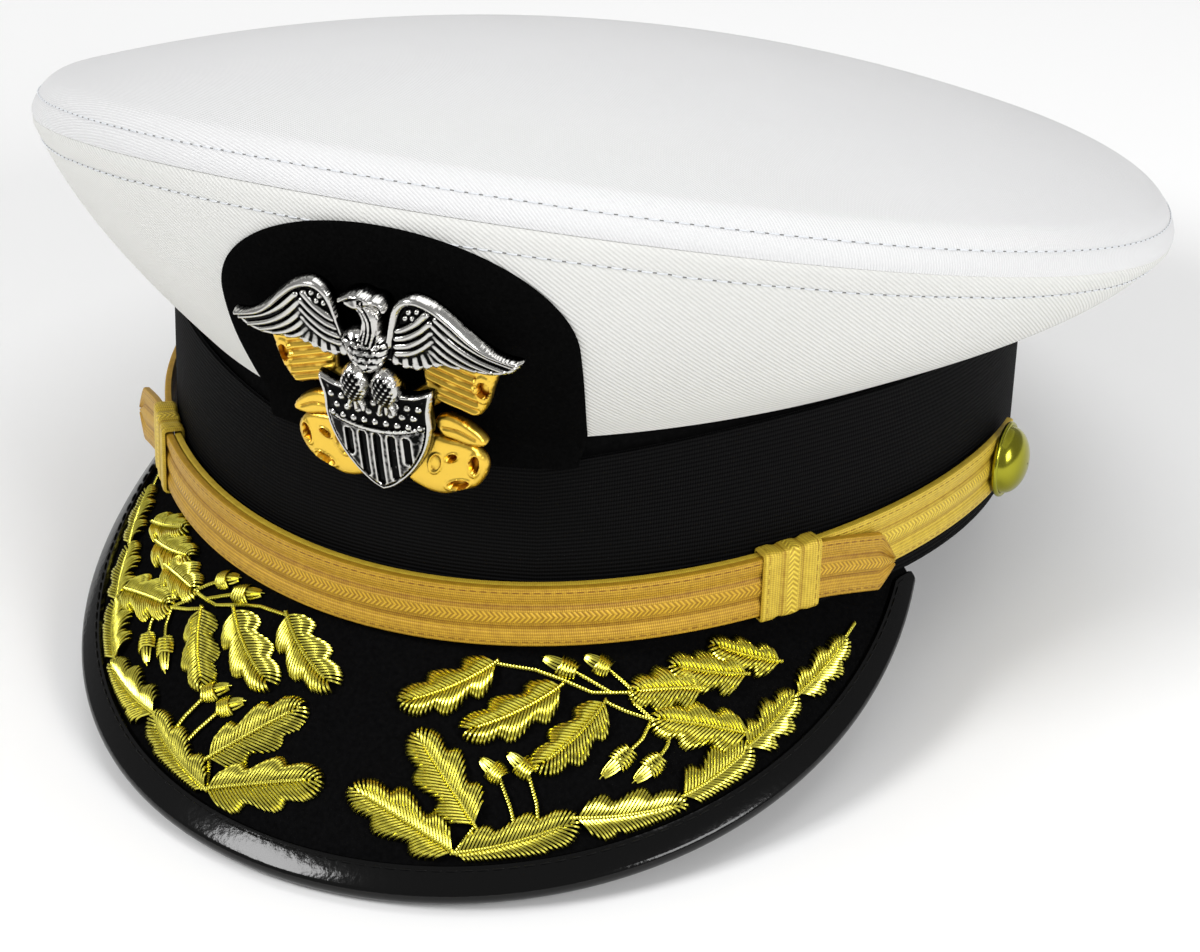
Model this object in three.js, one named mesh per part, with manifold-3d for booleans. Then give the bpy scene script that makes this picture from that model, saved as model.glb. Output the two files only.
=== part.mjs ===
// A military peaked cap with a white crown, a black band, an embroidered peak, a gold chin strap
// and a metal cap badge. Millimetres, +Z up, the peak towards -Y.
// The cap is drawn as it is worn, with the lower edge of its band level, and then laid back
// on a flat surface, where it rests on the front edge of its peak and the back of its band.
import * as THREE from "three";
import { mergeVertices } from "three/addons/utils/BufferGeometryUtils.js";
import Module from "manifold-3d";

const wasm = await Module();
wasm.setup();

const RAD = Math.PI / 180;

// Head band
const BAND_HALF_WIDTH = 92;
const BAND_HALF_LENGTH = 102.5;
const FRAME_WALL = 2.2;
const RIBBON_WALL = 1.2;
const GAP = 0.3;
const SIDE_ARCH = 2.5; // rise of the band's lower edge over the ears
const RIBBON_TOP_FRONT = 37.2;
const RIBBON_TOP_SIDE = 45.5;
const RIBBON_TOP_BACK = 41.5;
const RIBBON_RISE_FROM = 18; // degrees from the front where the ribbon's upper edge starts to rise
const RIBBON_RISE_TO = 60;
const RIBBON_HEM = 1; // the frame shows this much below the ribbon
const FRAME_TOP_HIDDEN = 3; // the frame reaches this far up behind the crown

// Crown
const CLOTH_WALL = 1.6;
const CROWN_FOOT_FRONT = 43; // lower edge of the white cloth above the band's lower edge
const CROWN_FOOT_SIDE = 47;
const CROWN_FOOT_BACK = 43;
const CROWN_FOOT_OUT = 0.4;
const RIM_HALF_WIDTH = 125;
const RIM_FRONT_REACH = 112;
const RIM_BACK_REACH = 117;
const RIM_CENTRE_Y = -6.2;
const RIM_CENTRE_Z = 67.3;
const RIM_TILT = 9.2; // degrees, front edge high
const RIM_FRONT_LIFT = 5.6;
const RIM_BACK_LIFT = 9.3;
const SIDE_BULGE = 3.7;
const ROLL_RISE = 7; // height of the rounded edge above the seam
const ROLL_SHARE = 0.05; // its depth as a share of the top's radius
const DOME_RISE = 22;

// Peak
const PEAK_SLOPE = 46.5; // degrees below the band's lower plane
const PEAK_DEPTH = 55.5; // along the slope at the middle
const PEAK_HALF_SPAN = 71; // degrees from the middle to where its edge meets the band
const PEAK_LEAST_DEPTH = 3.5;
const BOARD_WALL = 2;
const BOARD_ROOT = -0.7; // the board starts this far under the ribbon's edge
const BINDING_WIDTH = 7.2;
const BINDING_WALL = 0.9;

// Raised embroidery
const LEAF_HALF_WIDTH = 5.5; // of the widest leaf
const LEAF_HEIGHT = 1.7;
const STEM_HEIGHT = 0.9;
const STEM_WIDTH = 1.1;
const ACORN_HEIGHT = 1.5;
const ACORN_HALF_WIDTH = 1.5;

// Chin strap
const STRAP_WIDTH = 12.7;
const STRAP_WALL = 1.4;
const STRAP_MIDDLE_FRONT = 5.8;
const STRAP_MIDDLE_SIDE = 15.5;
const STRAP_TIP_AT = 63.4; // degrees from the middle to the end of each point
const STRAP_TIP_LENGTH = 2.4; // degrees over which the point narrows
const STRAP_TIP_DROP = 5; // each free end hangs this far below the strap behind it
const STRAP_TIP_LEFT = 0.15; // the point's blunt end as a share of the strap's width
const STRAP_TIP_FLARE = 5; // how far the left point stands off
const KEEPER_FROM = 44.4;
const KEEPER_TO = 51.8;
const KEEPER_WALL = 0.7;
const KEEPER_MARGIN = 0.9; // above and below the strap

// Buttons
const BUTTON_AT = 89;
const BUTTON_RADIUS = 8.25;
const BUTTON_DOME = 5.6;
const BUTTON_RIM = 1.2;
const SHANK_RADIUS = 1.5;

// Badge and its felt patch
const BADGE_SIDE = 3; // the badge sits this far from the middle, to the wearer's left
const PATCH_WALL = 1.2;
const PATCH_HALF_WIDTH = 37;
const PATCH_FOOT_HALF_WIDTH = 32.5;
const PATCH_SHOULDER_Z = 66;
const PATCH_TOP_Z = 87.3;
const BADGE_HALF_SPAN = 29.8; // from the badge's middle to the tip of a wing
const BADGE_BASE_Z = 30; // height of the badge's foot
const BADGE_FOOT_OFF = 4.5; // how far its foot stands off the ribbon
const BADGE_TOUCH_Z = 68; // it leans out from its foot and lies on the patch up to this height
const BADGE_BEND_RADIUS = 150;
const ANCHOR_WALL = 2.4;
const SHIELD_WALL = 2.2;
const SHIELD_RELIEF = 0.7; // the raised bars and studs stand this far above the shield's floor
const WING_WALL = 1.7;
const FEATHER_RELIEF = 0.7;
const WING_EDGE_RELIEF = 1.1;
const BODY_RELIEF = 3.2; // how far the eagle's breast stands above its back
const CAST_SINK = 0.3; // raised cast details start this far inside the metal under them

// Fineness of the faceted surfaces
const ROUND_STEPS = 48;
const PEAK_STEPS = 26;
const STRAP_STEPS = 34;

const clamp01 = (x) => Math.min(1, Math.max(0, x));

// Closed bodies from cross-sections: each section is a closed turn of the same number of points.
// A ring joins its last section to its first; a strip gets an end face at each end.
function loft(sections, ring = false, flatEnds = null) {
  const count = sections[0].length;
  const points = sections.flat();
  const faces = [];
  const last = ring ? sections.length : sections.length - 1;
  for (let i = 0; i < last; i++) {
    const a = i * count;
    const b = ((i + 1) % sections.length) * count;
    for (let j = 0; j < count; j++) {
      const k = (j + 1) % count;
      faces.push([a + j, b + j, b + k], [a + j, b + k, a + k]);
    }
  }
  if (!ring) {
    const end = (sections.length - 1) * count;
    const flat = flatEnds ?? sections[0].map((p, j) => regularCorner(j, count));
    const clockwise = THREE.ShapeUtils.isClockWise(flat);
    for (const face of THREE.ShapeUtils.triangulateShape(flat, [])) {
      const [a, b, c] = clockwise ? face.toReversed() : face;
      faces.push([a, b, c], [end + c, end + b, end + a]);
    }
  }
  return bodyOf(points, faces);
}

function regularCorner(j, count) {
  const turn = (2 * Math.PI * j) / count;
  return new THREE.Vector2(Math.cos(turn), Math.sin(turn));
}

// A solid from points and triangles, with its faces turned outwards.
function bodyOf(points, faces) {
  let volume = 0;
  for (const [a, b, c] of faces) {
    volume += points[a].dot(new THREE.Vector3().crossVectors(points[b], points[c]));
  }
  const turned = volume < 0 ? faces.map(([a, b, c]) => [a, c, b]) : faces;
  const geometry = new THREE.BufferGeometry().setFromPoints(points);
  geometry.setIndex(turned.flat());
  return solidOf(geometry);
}

function solidOf(source) {
  const plain = source.clone();
  plain.deleteAttribute("normal");
  plain.deleteAttribute("uv");
  const merged = mergeVertices(plain, 1e-4);
  const index = merged.index.array;
  const kept = [];
  for (let i = 0; i < index.length; i += 3) {
    const [a, b, c] = [index[i], index[i + 1], index[i + 2]];
    if (a !== b && b !== c && c !== a) kept.push(a, b, c);
  }
  return new wasm.Manifold(
    new wasm.Mesh({
      numProp: 3,
      vertProperties: Float32Array.from(merged.attributes.position.array),
      triVerts: Uint32Array.from(kept),
    }),
  );
}

function geometryOf(solid) {
  const made = solid.getMesh();
  const geometry = new THREE.BufferGeometry();
  const positions = new THREE.BufferAttribute(Float32Array.from(made.vertProperties), 3);
  geometry.setAttribute("position", positions);
  geometry.setIndex([...made.triVerts]);
  geometry.computeVertexNormals();
  return geometry;
}

function joined(solids) {
  return solids.reduce((sum, next) => sum.add(next));
}

// Plan of the head band. The angle is in degrees from the front middle, positive towards +X.
function bandPoint(angle, out, z) {
  const x = BAND_HALF_WIDTH * Math.sin(angle * RAD);
  const y = -BAND_HALF_LENGTH * Math.cos(angle * RAD);
  const away = bandOutward(angle);
  return new THREE.Vector3(x + away.x * out, y + away.y * out, z);
}

function bandOutward(angle) {
  const x = Math.sin(angle * RAD) / BAND_HALF_WIDTH;
  const y = -Math.cos(angle * RAD) / BAND_HALF_LENGTH;
  return new THREE.Vector3(x, y, 0).normalize();
}

const fromFront = (angle) => Math.abs(((angle + 540) % 360) - 180);

function bandFoot(angle) {
  return SIDE_ARCH * Math.sin(angle * RAD) ** 4;
}

function frontToSide(angle) {
  const share = (fromFront(angle) - RIBBON_RISE_FROM) / (RIBBON_RISE_TO - RIBBON_RISE_FROM);
  return Math.sin((clamp01(share) * Math.PI) / 2);
}

function sideToBack(angle) {
  return Math.max(0, Math.cos(angle * RAD) * -1) ** 2;
}

// A height that changes from the front to the sides and on to the back.
function heightRound(angle, front, side, back) {
  return front + (side - front) * frontToSide(angle) + (back - side) * sideToBack(angle);
}

function ribbonTop(angle) {
  return heightRound(angle, RIBBON_TOP_FRONT, RIBBON_TOP_SIDE, RIBBON_TOP_BACK);
}

function crownFoot(angle) {
  return heightRound(angle, CROWN_FOOT_FRONT, CROWN_FOOT_SIDE, CROWN_FOOT_BACK);
}

const roundAngles = Array.from({ length: ROUND_STEPS }, (_, i) => (360 * i) / ROUND_STEPS);

function bandWall(outer, inner, foot, top) {
  return loft(
    roundAngles.map((angle) => [
      bandPoint(angle, outer, foot(angle)),
      bandPoint(angle, outer, top(angle)),
      bandPoint(angle, inner, top(angle)),
      bandPoint(angle, inner, foot(angle)),
    ]),
    true,
  );
}

const FRAME_OUT = -RIBBON_WALL - GAP;
const frame = bandWall(
  FRAME_OUT,
  FRAME_OUT - FRAME_WALL,
  bandFoot,
  (angle) => crownFoot(angle) + FRAME_TOP_HIDDEN,
);
const ribbon = bandWall(0, -RIBBON_WALL, (angle) => bandFoot(angle) + RIBBON_HEM, ribbonTop);

// Crown: the rim is an oval plane tilted front high, with its front and back lifted again.
function rimPoint(angle, share, lift) {
  const across = Math.sin(angle * RAD) * share;
  const along = -Math.cos(angle * RAD) * share;
  const reach = along < 0 ? RIM_FRONT_REACH : RIM_BACK_REACH;
  const raised = (along < 0 ? RIM_FRONT_LIFT : RIM_BACK_LIFT) * along ** 2 + lift;
  const tilt = RIM_TILT * RAD;
  return new THREE.Vector3(
    RIM_HALF_WIDTH * across,
    RIM_CENTRE_Y + reach * along * Math.cos(tilt) + raised * Math.sin(tilt),
    RIM_CENTRE_Z - reach * along * Math.sin(tilt) + raised * Math.cos(tilt),
  );
}

const rimUp = new THREE.Vector3(0, Math.sin(RIM_TILT * RAD), Math.cos(RIM_TILT * RAD));

function sidePoint(angle, share) {
  const foot = bandPoint(angle, CROWN_FOOT_OUT, crownFoot(angle));
  const rim = rimPoint(angle, 1, -GAP / 2);
  const chord = new THREE.Vector3().subVectors(rim, foot);
  const level = Math.hypot(chord.x, chord.y);
  const away = bandOutward(angle);
  const bulge = new THREE.Vector3(chord.z * away.x, chord.z * away.y, -level).normalize();
  return foot.addScaledVector(chord, share).addScaledVector(bulge, 4 * SIDE_BULGE * share * (1 - share));
}

function topPoint(angle, share) {
  const start = 1 - ROLL_SHARE;
  const roll = share > start ? Math.sqrt(Math.max(0, 1 - ((share - start) / ROLL_SHARE) ** 2)) : 1;
  return rimPoint(angle, share, GAP / 2 + ROLL_RISE * roll + DOME_RISE * (1 - share ** 2));
}

// Inward direction in the vertical plane of the angle, square to the profile of a surface.
function inward(surface, angle, share, step) {
  const a = surface(angle, Math.max(0, share - step));
  const b = surface(angle, Math.min(1, share + step));
  const along = b.sub(a);
  const away = bandOutward(angle);
  const level = along.x * away.x + along.y * away.y;
  return new THREE.Vector3(-along.z * away.x, -along.z * away.y, level).normalize();
}

const SIDE_SHARES = [0, 0.25, 0.5, 0.75, 1];
const crownSide = loft(
  roundAngles.map((angle) => {
    const outer = SIDE_SHARES.map((share) => sidePoint(angle, share));
    const inner = SIDE_SHARES.map((share, i) => {
      const level = bandOutward(angle).multiplyScalar(-1);
      const way = share === 1 ? level : inward(sidePoint, angle, share, 0.05);
      return outer[i].clone().addScaledVector(way, CLOTH_WALL);
    });
    return [...outer, ...inner.reverse()];
  }),
  true,
);

const TOP_SHARES = [1, 0.994, 0.975, 0.94, 0.84, 0.65, 0.4, 0];
const crownTop = loft(
  roundAngles.map((angle) => {
    const outer = TOP_SHARES.map((share) => topPoint(angle, share));
    const inner = TOP_SHARES.map((share, i) => {
      const level = bandOutward(angle).multiplyScalar(-1);
      const away = share === 0 ? rimUp.clone().multiplyScalar(-1) : inward(topPoint, angle, share, 0.002);
      const way = share === 1 ? level : away.multiplyScalar(away.z > 0 ? -1 : 1);
      return outer[i].clone().addScaledVector(way, CLOTH_WALL);
    });
    return [...outer, ...inner.reverse()];
  }),
  true,
);

// Peak: a cone of even slope that leaves the band's lower edge. out runs down the slope, lift stands off it.
function peakPoint(angle, out, lift) {
  const slope = PEAK_SLOPE * RAD;
  const level = out * Math.cos(slope) + lift * Math.sin(slope);
  return bandPoint(angle, level, bandFoot(angle) - out * Math.sin(slope) + lift * Math.cos(slope));
}

function peakDepth(angle) {
  return PEAK_DEPTH * (1 - (angle / PEAK_HALF_SPAN) ** 2);
}

const PEAK_END = PEAK_HALF_SPAN * Math.sqrt(1 - PEAK_LEAST_DEPTH / PEAK_DEPTH);
const peakAngles = Array.from({ length: PEAK_STEPS + 1 }, (_, i) => PEAK_END * ((2 * i) / PEAK_STEPS - 1));

const BINDING_FOLD = BINDING_WALL + GAP; // binding's bend beyond the board's edge

const visor = loft(
  peakAngles.map((angle) => {
    const edge = peakDepth(angle) - BINDING_FOLD;
    return [
      peakPoint(angle, BOARD_ROOT, 0),
      peakPoint(angle, edge, 0),
      peakPoint(angle, edge, -BOARD_WALL),
      peakPoint(angle, BOARD_ROOT, -BOARD_WALL),
    ];
  }),
);

function bindingStart(angle) {
  return Math.max(peakDepth(angle) - BINDING_WIDTH, GAP);
}

function bindingSection(angle) {
  const edge = peakDepth(angle);
  const start = bindingStart(angle);
  const over = GAP + BINDING_WALL;
  const under = -BOARD_WALL - GAP - BINDING_WALL;
  const bend = edge - BINDING_WALL;
  const round = BINDING_WALL * 0.6;
  return [
    [start, GAP],
    [start, over],
    [edge - round, over],
    [edge, over - round],
    [edge, under + round],
    [edge - round, under],
    [start, under],
    [start, -BOARD_WALL - GAP],
    [bend, -BOARD_WALL - GAP],
    [bend, GAP],
  ];
}

const visorBinding = loft(
  peakAngles.map((angle) => bindingSection(angle).map(([out, lift]) => peakPoint(angle, out, lift))),
  false,
  bindingSection(0).map(([out, lift]) => new THREE.Vector2(out, lift)),
);

// Embroidery: one side, angles in degrees from the middle and depths as shares of the peak's depth.
const LEAVES = [
  // tip and base, half width as a share of the widest leaf's
  { tip: [3.9, 0.297], base: [14.0, 0.099], half: 0.929 },
  { tip: [11.2, 0.366], base: [21.5, 0.171], half: 0.929 },
  { tip: [19.0, 0.477], base: [26.2, 0.231], half: 0.881 },
  { tip: [6.4, 0.391], base: [14.0, 0.7], half: 1 },
  { tip: [1.6, 0.63], base: [12.6, 0.8], half: 1 },
  { tip: [23.2, 0.655], base: [12.4, 0.8], half: 0.952 },
  { tip: [33.4, 0.61], base: [22.9, 0.65], half: 0.929 },
  { tip: [40.7, 0.44], base: [33.0, 0.59], half: 0.929 },
  { tip: [47.1, 0.285], base: [40.2, 0.445], half: 0.833 },
  { tip: [55.5, 0.145], base: [47.2, 0.295], half: 0.714 },
  { tip: [31.0, 0.3], base: [40.9, 0.4], half: 0.929 },
  { tip: [28.9, 0.2], base: [37.1, 0.21], half: 0.905 },
  { tip: [33.6, 0.11], base: [42.4, 0.185], half: 0.857 },
  { tip: [38.8, 0.05], base: [46.6, 0.165], half: 0.714 },
];
const ACORNS = [
  { tip: [19.7, 0.076], cup: [22.3, 0.11] },
  { tip: [24.4, 0.068], cup: [26.3, 0.101] },
  { tip: [25.9, 0.49], cup: [27.9, 0.427] },
  { tip: [29.0, 0.512], cup: [30.9, 0.459] },
  { tip: [13.9, 0.461], cup: [15.5, 0.503] },
  { tip: [16.6, 0.434], cup: [18.3, 0.481] },
];
const STEMS = [
  [[14.0, 0.099], [18.3, 0.117], [24.8, 0.196]],
  [[21.5, 0.171], [24.8, 0.196], [29.5, 0.2]],
  [[28.9, 0.2], [31.2, 0.305]],
  [[26.2, 0.231], [31.2, 0.305]],
  [[22.3, 0.11], [27.0, 0.2]],
  [[26.3, 0.101], [29.5, 0.2]],
  [[27.9, 0.427], [31.0, 0.29]],
  [[30.9, 0.459], [33.0, 0.33]],
  [[15.5, 0.503], [18.0, 0.74]],
  [[18.3, 0.481], [19.8, 0.71]],
  [[14.0, 0.7], [12.4, 0.8]],
];
const LEAF_SHARES = [
  // place along the leaf from base to tip, half width as a share, ridge as a share
  { at: 0, wide: 0.2, ridge: 0.6 },
  { at: 0.27, wide: 0.92, ridge: 1 },
  { at: 0.37, wide: 0.66, ridge: 1 },
  { at: 0.6, wide: 1, ridge: 1 },
  { at: 0.7, wide: 0.66, ridge: 0.95 },
  { at: 0.99, wide: 0.4, ridge: 0.6 },
];

// Millimetres round the peak for each degree, at a depth.
function degreeLength(angle, out) {
  return peakPoint(angle - 0.5, out, 0).distanceTo(peakPoint(angle + 0.5, out, 0));
}

// A run over the peak from one place to another, with points beside it.
function peakRun(from, to) {
  const [angleA, outA] = [from[0], from[1] * PEAK_DEPTH];
  const [angleB, outB] = [to[0], to[1] * PEAK_DEPTH];
  const scale = degreeLength((angleA + angleB) / 2, (outA + outB) / 2);
  const along = new THREE.Vector2((angleB - angleA) * scale, outB - outA);
  const length = along.length();
  const beside = new THREE.Vector2(-along.y, along.x).normalize();
  return {
    length,
    point(share, side, lift) {
      const angle = angleA + (along.x * share + beside.x * side) / scale;
      return peakPoint(angle, outA + along.y * share + beside.y * side, GAP + lift);
    },
  };
}

function leafBody({ tip, base, half }) {
  const run = peakRun(base, tip);
  const widest = LEAF_HALF_WIDTH * half;
  return loft(
    LEAF_SHARES.map(({ at, wide, ridge }) => [
      run.point(at, -widest * wide, 0),
      run.point(at, 0, LEAF_HEIGHT * ridge),
      run.point(at, widest * wide, 0),
    ]),
  );
}

function stemBody(places) {
  const pieces = [];
  for (let i = 0; i + 1 < places.length; i++) {
    const run = peakRun(places[i], places[i + 1]);
    const past = (STEM_WIDTH * 0.3) / run.length;
    pieces.push(
      loft(
        [-past, 1 + past].map((at) => [
          run.point(at, -STEM_WIDTH / 2, 0),
          run.point(at, 0, STEM_HEIGHT),
          run.point(at, STEM_WIDTH / 2, 0),
        ]),
      ),
    );
  }
  return joined(pieces);
}

const ACORN_SHARES = [
  { at: 0, wide: 0.25, high: 0.5 },
  { at: 0.4, wide: 0.85, high: 0.9 },
  { at: 0.8, wide: 1, high: 1 },
  { at: 1.15, wide: 0.45, high: 0.6 },
];

function acornBody({ tip, cup }) {
  const run = peakRun(tip, cup);
  return loft(
    ACORN_SHARES.map(({ at, wide, high }) => [
      run.point(at, -ACORN_HALF_WIDTH * wide, 0),
      run.point(at, -ACORN_HALF_WIDTH * wide * 0.5, ACORN_HEIGHT * high),
      run.point(at, ACORN_HALF_WIDTH * wide * 0.5, ACORN_HEIGHT * high),
      run.point(at, ACORN_HALF_WIDTH * wide, 0),
    ]),
  );
}

// The embroidery stops short of the binding.
const bindingRoom = loft(
  peakAngles.map((angle) => {
    const near = bindingStart(angle) - GAP;
    const far = peakDepth(angle) + BINDING_WIDTH;
    return [
      peakPoint(angle, near, -BOARD_WALL),
      peakPoint(angle, far, -BOARD_WALL),
      peakPoint(angle, far, LEAF_HEIGHT + BOARD_WALL),
      peakPoint(angle, near, LEAF_HEIGHT + BOARD_WALL),
    ];
  }),
);

const sprigs = [...LEAVES.map(leafBody), ...STEMS.map(stemBody), ...ACORNS.map(acornBody)];
const embroideryRight = joined(sprigs).subtract(bindingRoom);
const embroideryLeft = embroideryRight.mirror([1, 0, 0]);

// Chin strap: two halves that pass each other in front, each on its own track off the band.
const INNER_TRACK = KEEPER_WALL + 2 * GAP;
const OUTER_TRACK = INNER_TRACK + STRAP_WALL + GAP;

function strapMiddle(angle) {
  return STRAP_MIDDLE_FRONT + (STRAP_MIDDLE_SIDE - STRAP_MIDDLE_FRONT) * Math.sin(angle * RAD) ** 2;
}

function freeEndShare(angle) {
  return clamp01((Math.abs(angle) - KEEPER_TO) / (STRAP_TIP_AT - KEEPER_TO));
}

function freeEndMiddle(angle) {
  return strapMiddle(angle) - STRAP_TIP_DROP * freeEndShare(angle) ** 1.25;
}

// A stretch of strap: offset(angle) is how far its inner face stands off the band.
function strapBody(angles, middle, offset, halfWidth) {
  return loft(
    angles.map((angle) => {
      const z = middle(angle);
      const half = halfWidth(angle);
      const inner = offset(angle);
      return [
        bandPoint(angle, inner, z - half),
        bandPoint(angle, inner + STRAP_WALL, z - half),
        bandPoint(angle, inner + STRAP_WALL, z + half),
        bandPoint(angle, inner, z + half),
      ];
    }),
  );
}

function anglesBetween(from, to, extra = []) {
  const steps = Math.ceil((STRAP_STEPS * Math.abs(to - from)) / 180);
  const even = Array.from({ length: steps + 1 }, (_, i) => from + ((to - from) * i) / steps);
  return [...even, ...extra].sort((a, b) => a - b);
}

const STRAP_END_AT = BUTTON_AT + 4.4;
const HALF_STRAP = STRAP_WIDTH / 2;
const CROSS_FROM = KEEPER_FROM + 1.2; // where the halves change places inside the left keeper
const CROSS_TO = KEEPER_TO - 1.8;
const TIP_NARROW_FROM = STRAP_TIP_AT - STRAP_TIP_LENGTH;

function tipHalfWidth(angle) {
  const share = clamp01((Math.abs(angle) - TIP_NARROW_FROM) / STRAP_TIP_LENGTH);
  return HALF_STRAP * (1 - (1 - STRAP_TIP_LEFT) * share);
}

function outerOffset(angle) {
  const share = clamp01((-angle - CROSS_FROM) / (CROSS_TO - CROSS_FROM));
  return OUTER_TRACK + (INNER_TRACK - OUTER_TRACK) * share;
}

const strapOuterFull = strapBody(
  anglesBetween(-STRAP_END_AT, STRAP_TIP_AT, [TIP_NARROW_FROM, KEEPER_TO, -CROSS_FROM, -CROSS_TO]),
  (angle) => (angle > 0 ? freeEndMiddle(angle) : strapMiddle(angle)),
  outerOffset,
  (angle) => (angle > 0 ? tipHalfWidth(angle) : HALF_STRAP),
);
const strapInnerFull = strapBody(
  anglesBetween(-CROSS_FROM + 1, STRAP_END_AT),
  strapMiddle,
  () => INNER_TRACK,
  () => HALF_STRAP,
);

function flareOffset(angle) {
  return OUTER_TRACK + STRAP_TIP_FLARE * freeEndShare(angle) ** 1.5;
}

const strapTipLeft = strapBody(
  anglesBetween(-STRAP_TIP_AT, -CROSS_TO - 0.6, [-TIP_NARROW_FROM, -KEEPER_TO]),
  freeEndMiddle,
  flareOffset,
  tipHalfWidth,
);

// A keeper is a flat loop round both halves.
function keeperBody(side) {
  const inner = GAP;
  const outer = OUTER_TRACK + STRAP_WALL + GAP + KEEPER_WALL;
  const box = (angle, near, far, margin) => {
    const z = strapMiddle(angle);
    const half = HALF_STRAP + margin;
    return [
      bandPoint(angle, near, z - half),
      bandPoint(angle, far, z - half),
      bandPoint(angle, far, z + half),
      bandPoint(angle, near, z + half),
    ];
  };
  const angles = [KEEPER_FROM, (KEEPER_FROM + KEEPER_TO) / 2, KEEPER_TO].map((a) => a * side);
  const past = [KEEPER_FROM - 1, (KEEPER_FROM + KEEPER_TO) / 2, KEEPER_TO + 1].map((a) => a * side);
  const whole = loft(angles.map((a) => box(a, inner, outer, KEEPER_MARGIN + GAP)));
  const hole = loft(past.map((a) => box(a, inner + KEEPER_WALL, outer - KEEPER_WALL, GAP)));
  return whole.subtract(hole);
}

// Buttons: a dome with a rolled rim and a shank that goes through the strap to the ribbon.
function lathe(profile, segments) {
  const points = profile.map(([radius, height]) => new THREE.Vector2(radius, height));
  return new THREE.LatheGeometry(points, segments);
}

function buttonPlace(side) {
  const angle = BUTTON_AT * side;
  const away = bandOutward(angle);
  const turn = new THREE.Quaternion().setFromUnitVectors(new THREE.Vector3(0, 1, 0), away);
  const start = bandPoint(angle, 0, strapMiddle(angle));
  return new THREE.Matrix4().compose(start, turn, new THREE.Vector3(1, 1, 1));
}

const BUTTON_BACK = INNER_TRACK + STRAP_WALL + GAP;

function buttonBody(side) {
  const dome = [0.4, 0.75, 1].map((share) => {
    const radius = (BUTTON_RADIUS - 0.5) * share;
    return [radius, BUTTON_BACK + BUTTON_RIM + (BUTTON_DOME - BUTTON_RIM) * Math.sqrt(1 - share ** 2)];
  });
  const profile = [
    [0, GAP],
    [SHANK_RADIUS, GAP],
    [SHANK_RADIUS, BUTTON_BACK],
    [BUTTON_RADIUS - 0.4, BUTTON_BACK],
    [BUTTON_RADIUS, BUTTON_BACK + BUTTON_RIM / 2],
    [BUTTON_RADIUS - 0.2, BUTTON_BACK + BUTTON_RIM],
    ...dome.reverse(),
    [0, BUTTON_BACK + BUTTON_DOME],
  ];
  return solidOf(lathe(profile, 14).applyMatrix4(buttonPlace(side)));
}

function shankHole(side) {
  const radius = SHANK_RADIUS + GAP;
  const profile = [
    [0, 0],
    [radius, 0],
    [radius, BUTTON_BACK],
    [0, BUTTON_BACK],
  ];
  return solidOf(lathe(profile, 12).applyMatrix4(buttonPlace(side)));
}

const strapOuter = strapOuterFull.subtract(shankHole(-1));
const strapInner = strapInnerFull.subtract(shankHole(1));

// Front surface of the crown and ribbon at a side distance and a height, found by steps on the crown's side.
function frontSurface(x, z) {
  let angle = (x / BAND_HALF_WIDTH) / RAD;
  let share = 0.5;
  let place = sidePoint(angle, share);
  for (let i = 0; i < 30; i++) {
    angle += (x - place.x) * 0.5;
    share += (z - place.z) / (RIM_CENTRE_Z - CROWN_FOOT_FRONT) / 3;
    place = sidePoint(angle, Math.max(0, share));
  }
  return new THREE.Vector3(x, place.y, z);
}

function frontOutward(x, z) {
  const step = 1;
  const across = frontSurface(x + step, z).sub(frontSurface(x - step, z));
  const up = frontSurface(x, z + step).sub(frontSurface(x, z - step));
  return across.cross(up).normalize();
}

const patchFoot = RIBBON_TOP_FRONT + GAP;

function patchHalfWidth(z) {
  if (z < PATCH_SHOULDER_Z) {
    const share = (z - patchFoot) / (PATCH_SHOULDER_Z - patchFoot);
    const ease = Math.sin((share * Math.PI) / 2);
    return PATCH_FOOT_HALF_WIDTH + (PATCH_HALF_WIDTH - PATCH_FOOT_HALF_WIDTH) * ease;
  }
  const share = (z - PATCH_SHOULDER_Z) / (PATCH_TOP_Z - PATCH_SHOULDER_Z);
  return PATCH_HALF_WIDTH * Math.sqrt(Math.max(0, 1 - share ** 2));
}

const PATCH_ROWS = [0, 0.15, 0.3, 0.45, 0.58, 0.7, 0.8, 0.88, 0.94, 0.98, 0.996];
const PATCH_COLUMNS = [-1, -0.75, -0.5, -0.25, 0, 0.25, 0.5, 0.75, 1];

function patchPoint(z, share, depth) {
  const x = BADGE_SIDE + patchHalfWidth(z) * share;
  return frontSurface(x, z).addScaledVector(frontOutward(x, z), GAP + depth);
}

const badgePatch = loft(
  PATCH_ROWS.map((row) => {
    const z = patchFoot + (PATCH_TOP_Z - patchFoot) * row;
    const front = PATCH_COLUMNS.map((share) => patchPoint(z, share, PATCH_WALL));
    const back = PATCH_COLUMNS.map((share) => patchPoint(z, share, 0));
    return [...front, ...back.reverse()];
  }),
  false,
  [
    ...PATCH_COLUMNS.map((share) => new THREE.Vector2(share, 0)),
    ...PATCH_COLUMNS.map((share) => new THREE.Vector2(-share, 1)),
  ],
);

// Badge: drawn flat, x across and h up from its foot as shares of its half span, d out of its back plane,
// then bent round the front. It leans just enough for its back plane to clear the patch.
const badgeFootY = -BAND_HALF_LENGTH - BADGE_FOOT_OFF;
const leans = [0.25, 0.5, 0.75, 1].map((share) => {
  const z = patchFoot + (BADGE_TOUCH_Z - patchFoot) * share;
  const patchFront = frontSurface(BADGE_SIDE, z).y - 2 * GAP - PATCH_WALL;
  return (badgeFootY - patchFront) / (z - BADGE_BASE_Z);
});
const lean = Math.atan(Math.max(...leans));

function badgeBend(v) {
  const back = v.x ** 2 / (2 * BADGE_BEND_RADIUS);
  const out = v.z - back;
  return new THREE.Vector3(
    BADGE_SIDE + v.x,
    badgeFootY - v.y * Math.sin(lean) - out * Math.cos(lean),
    BADGE_BASE_Z + v.y * Math.cos(lean) - out * Math.sin(lean),
  );
}

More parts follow.
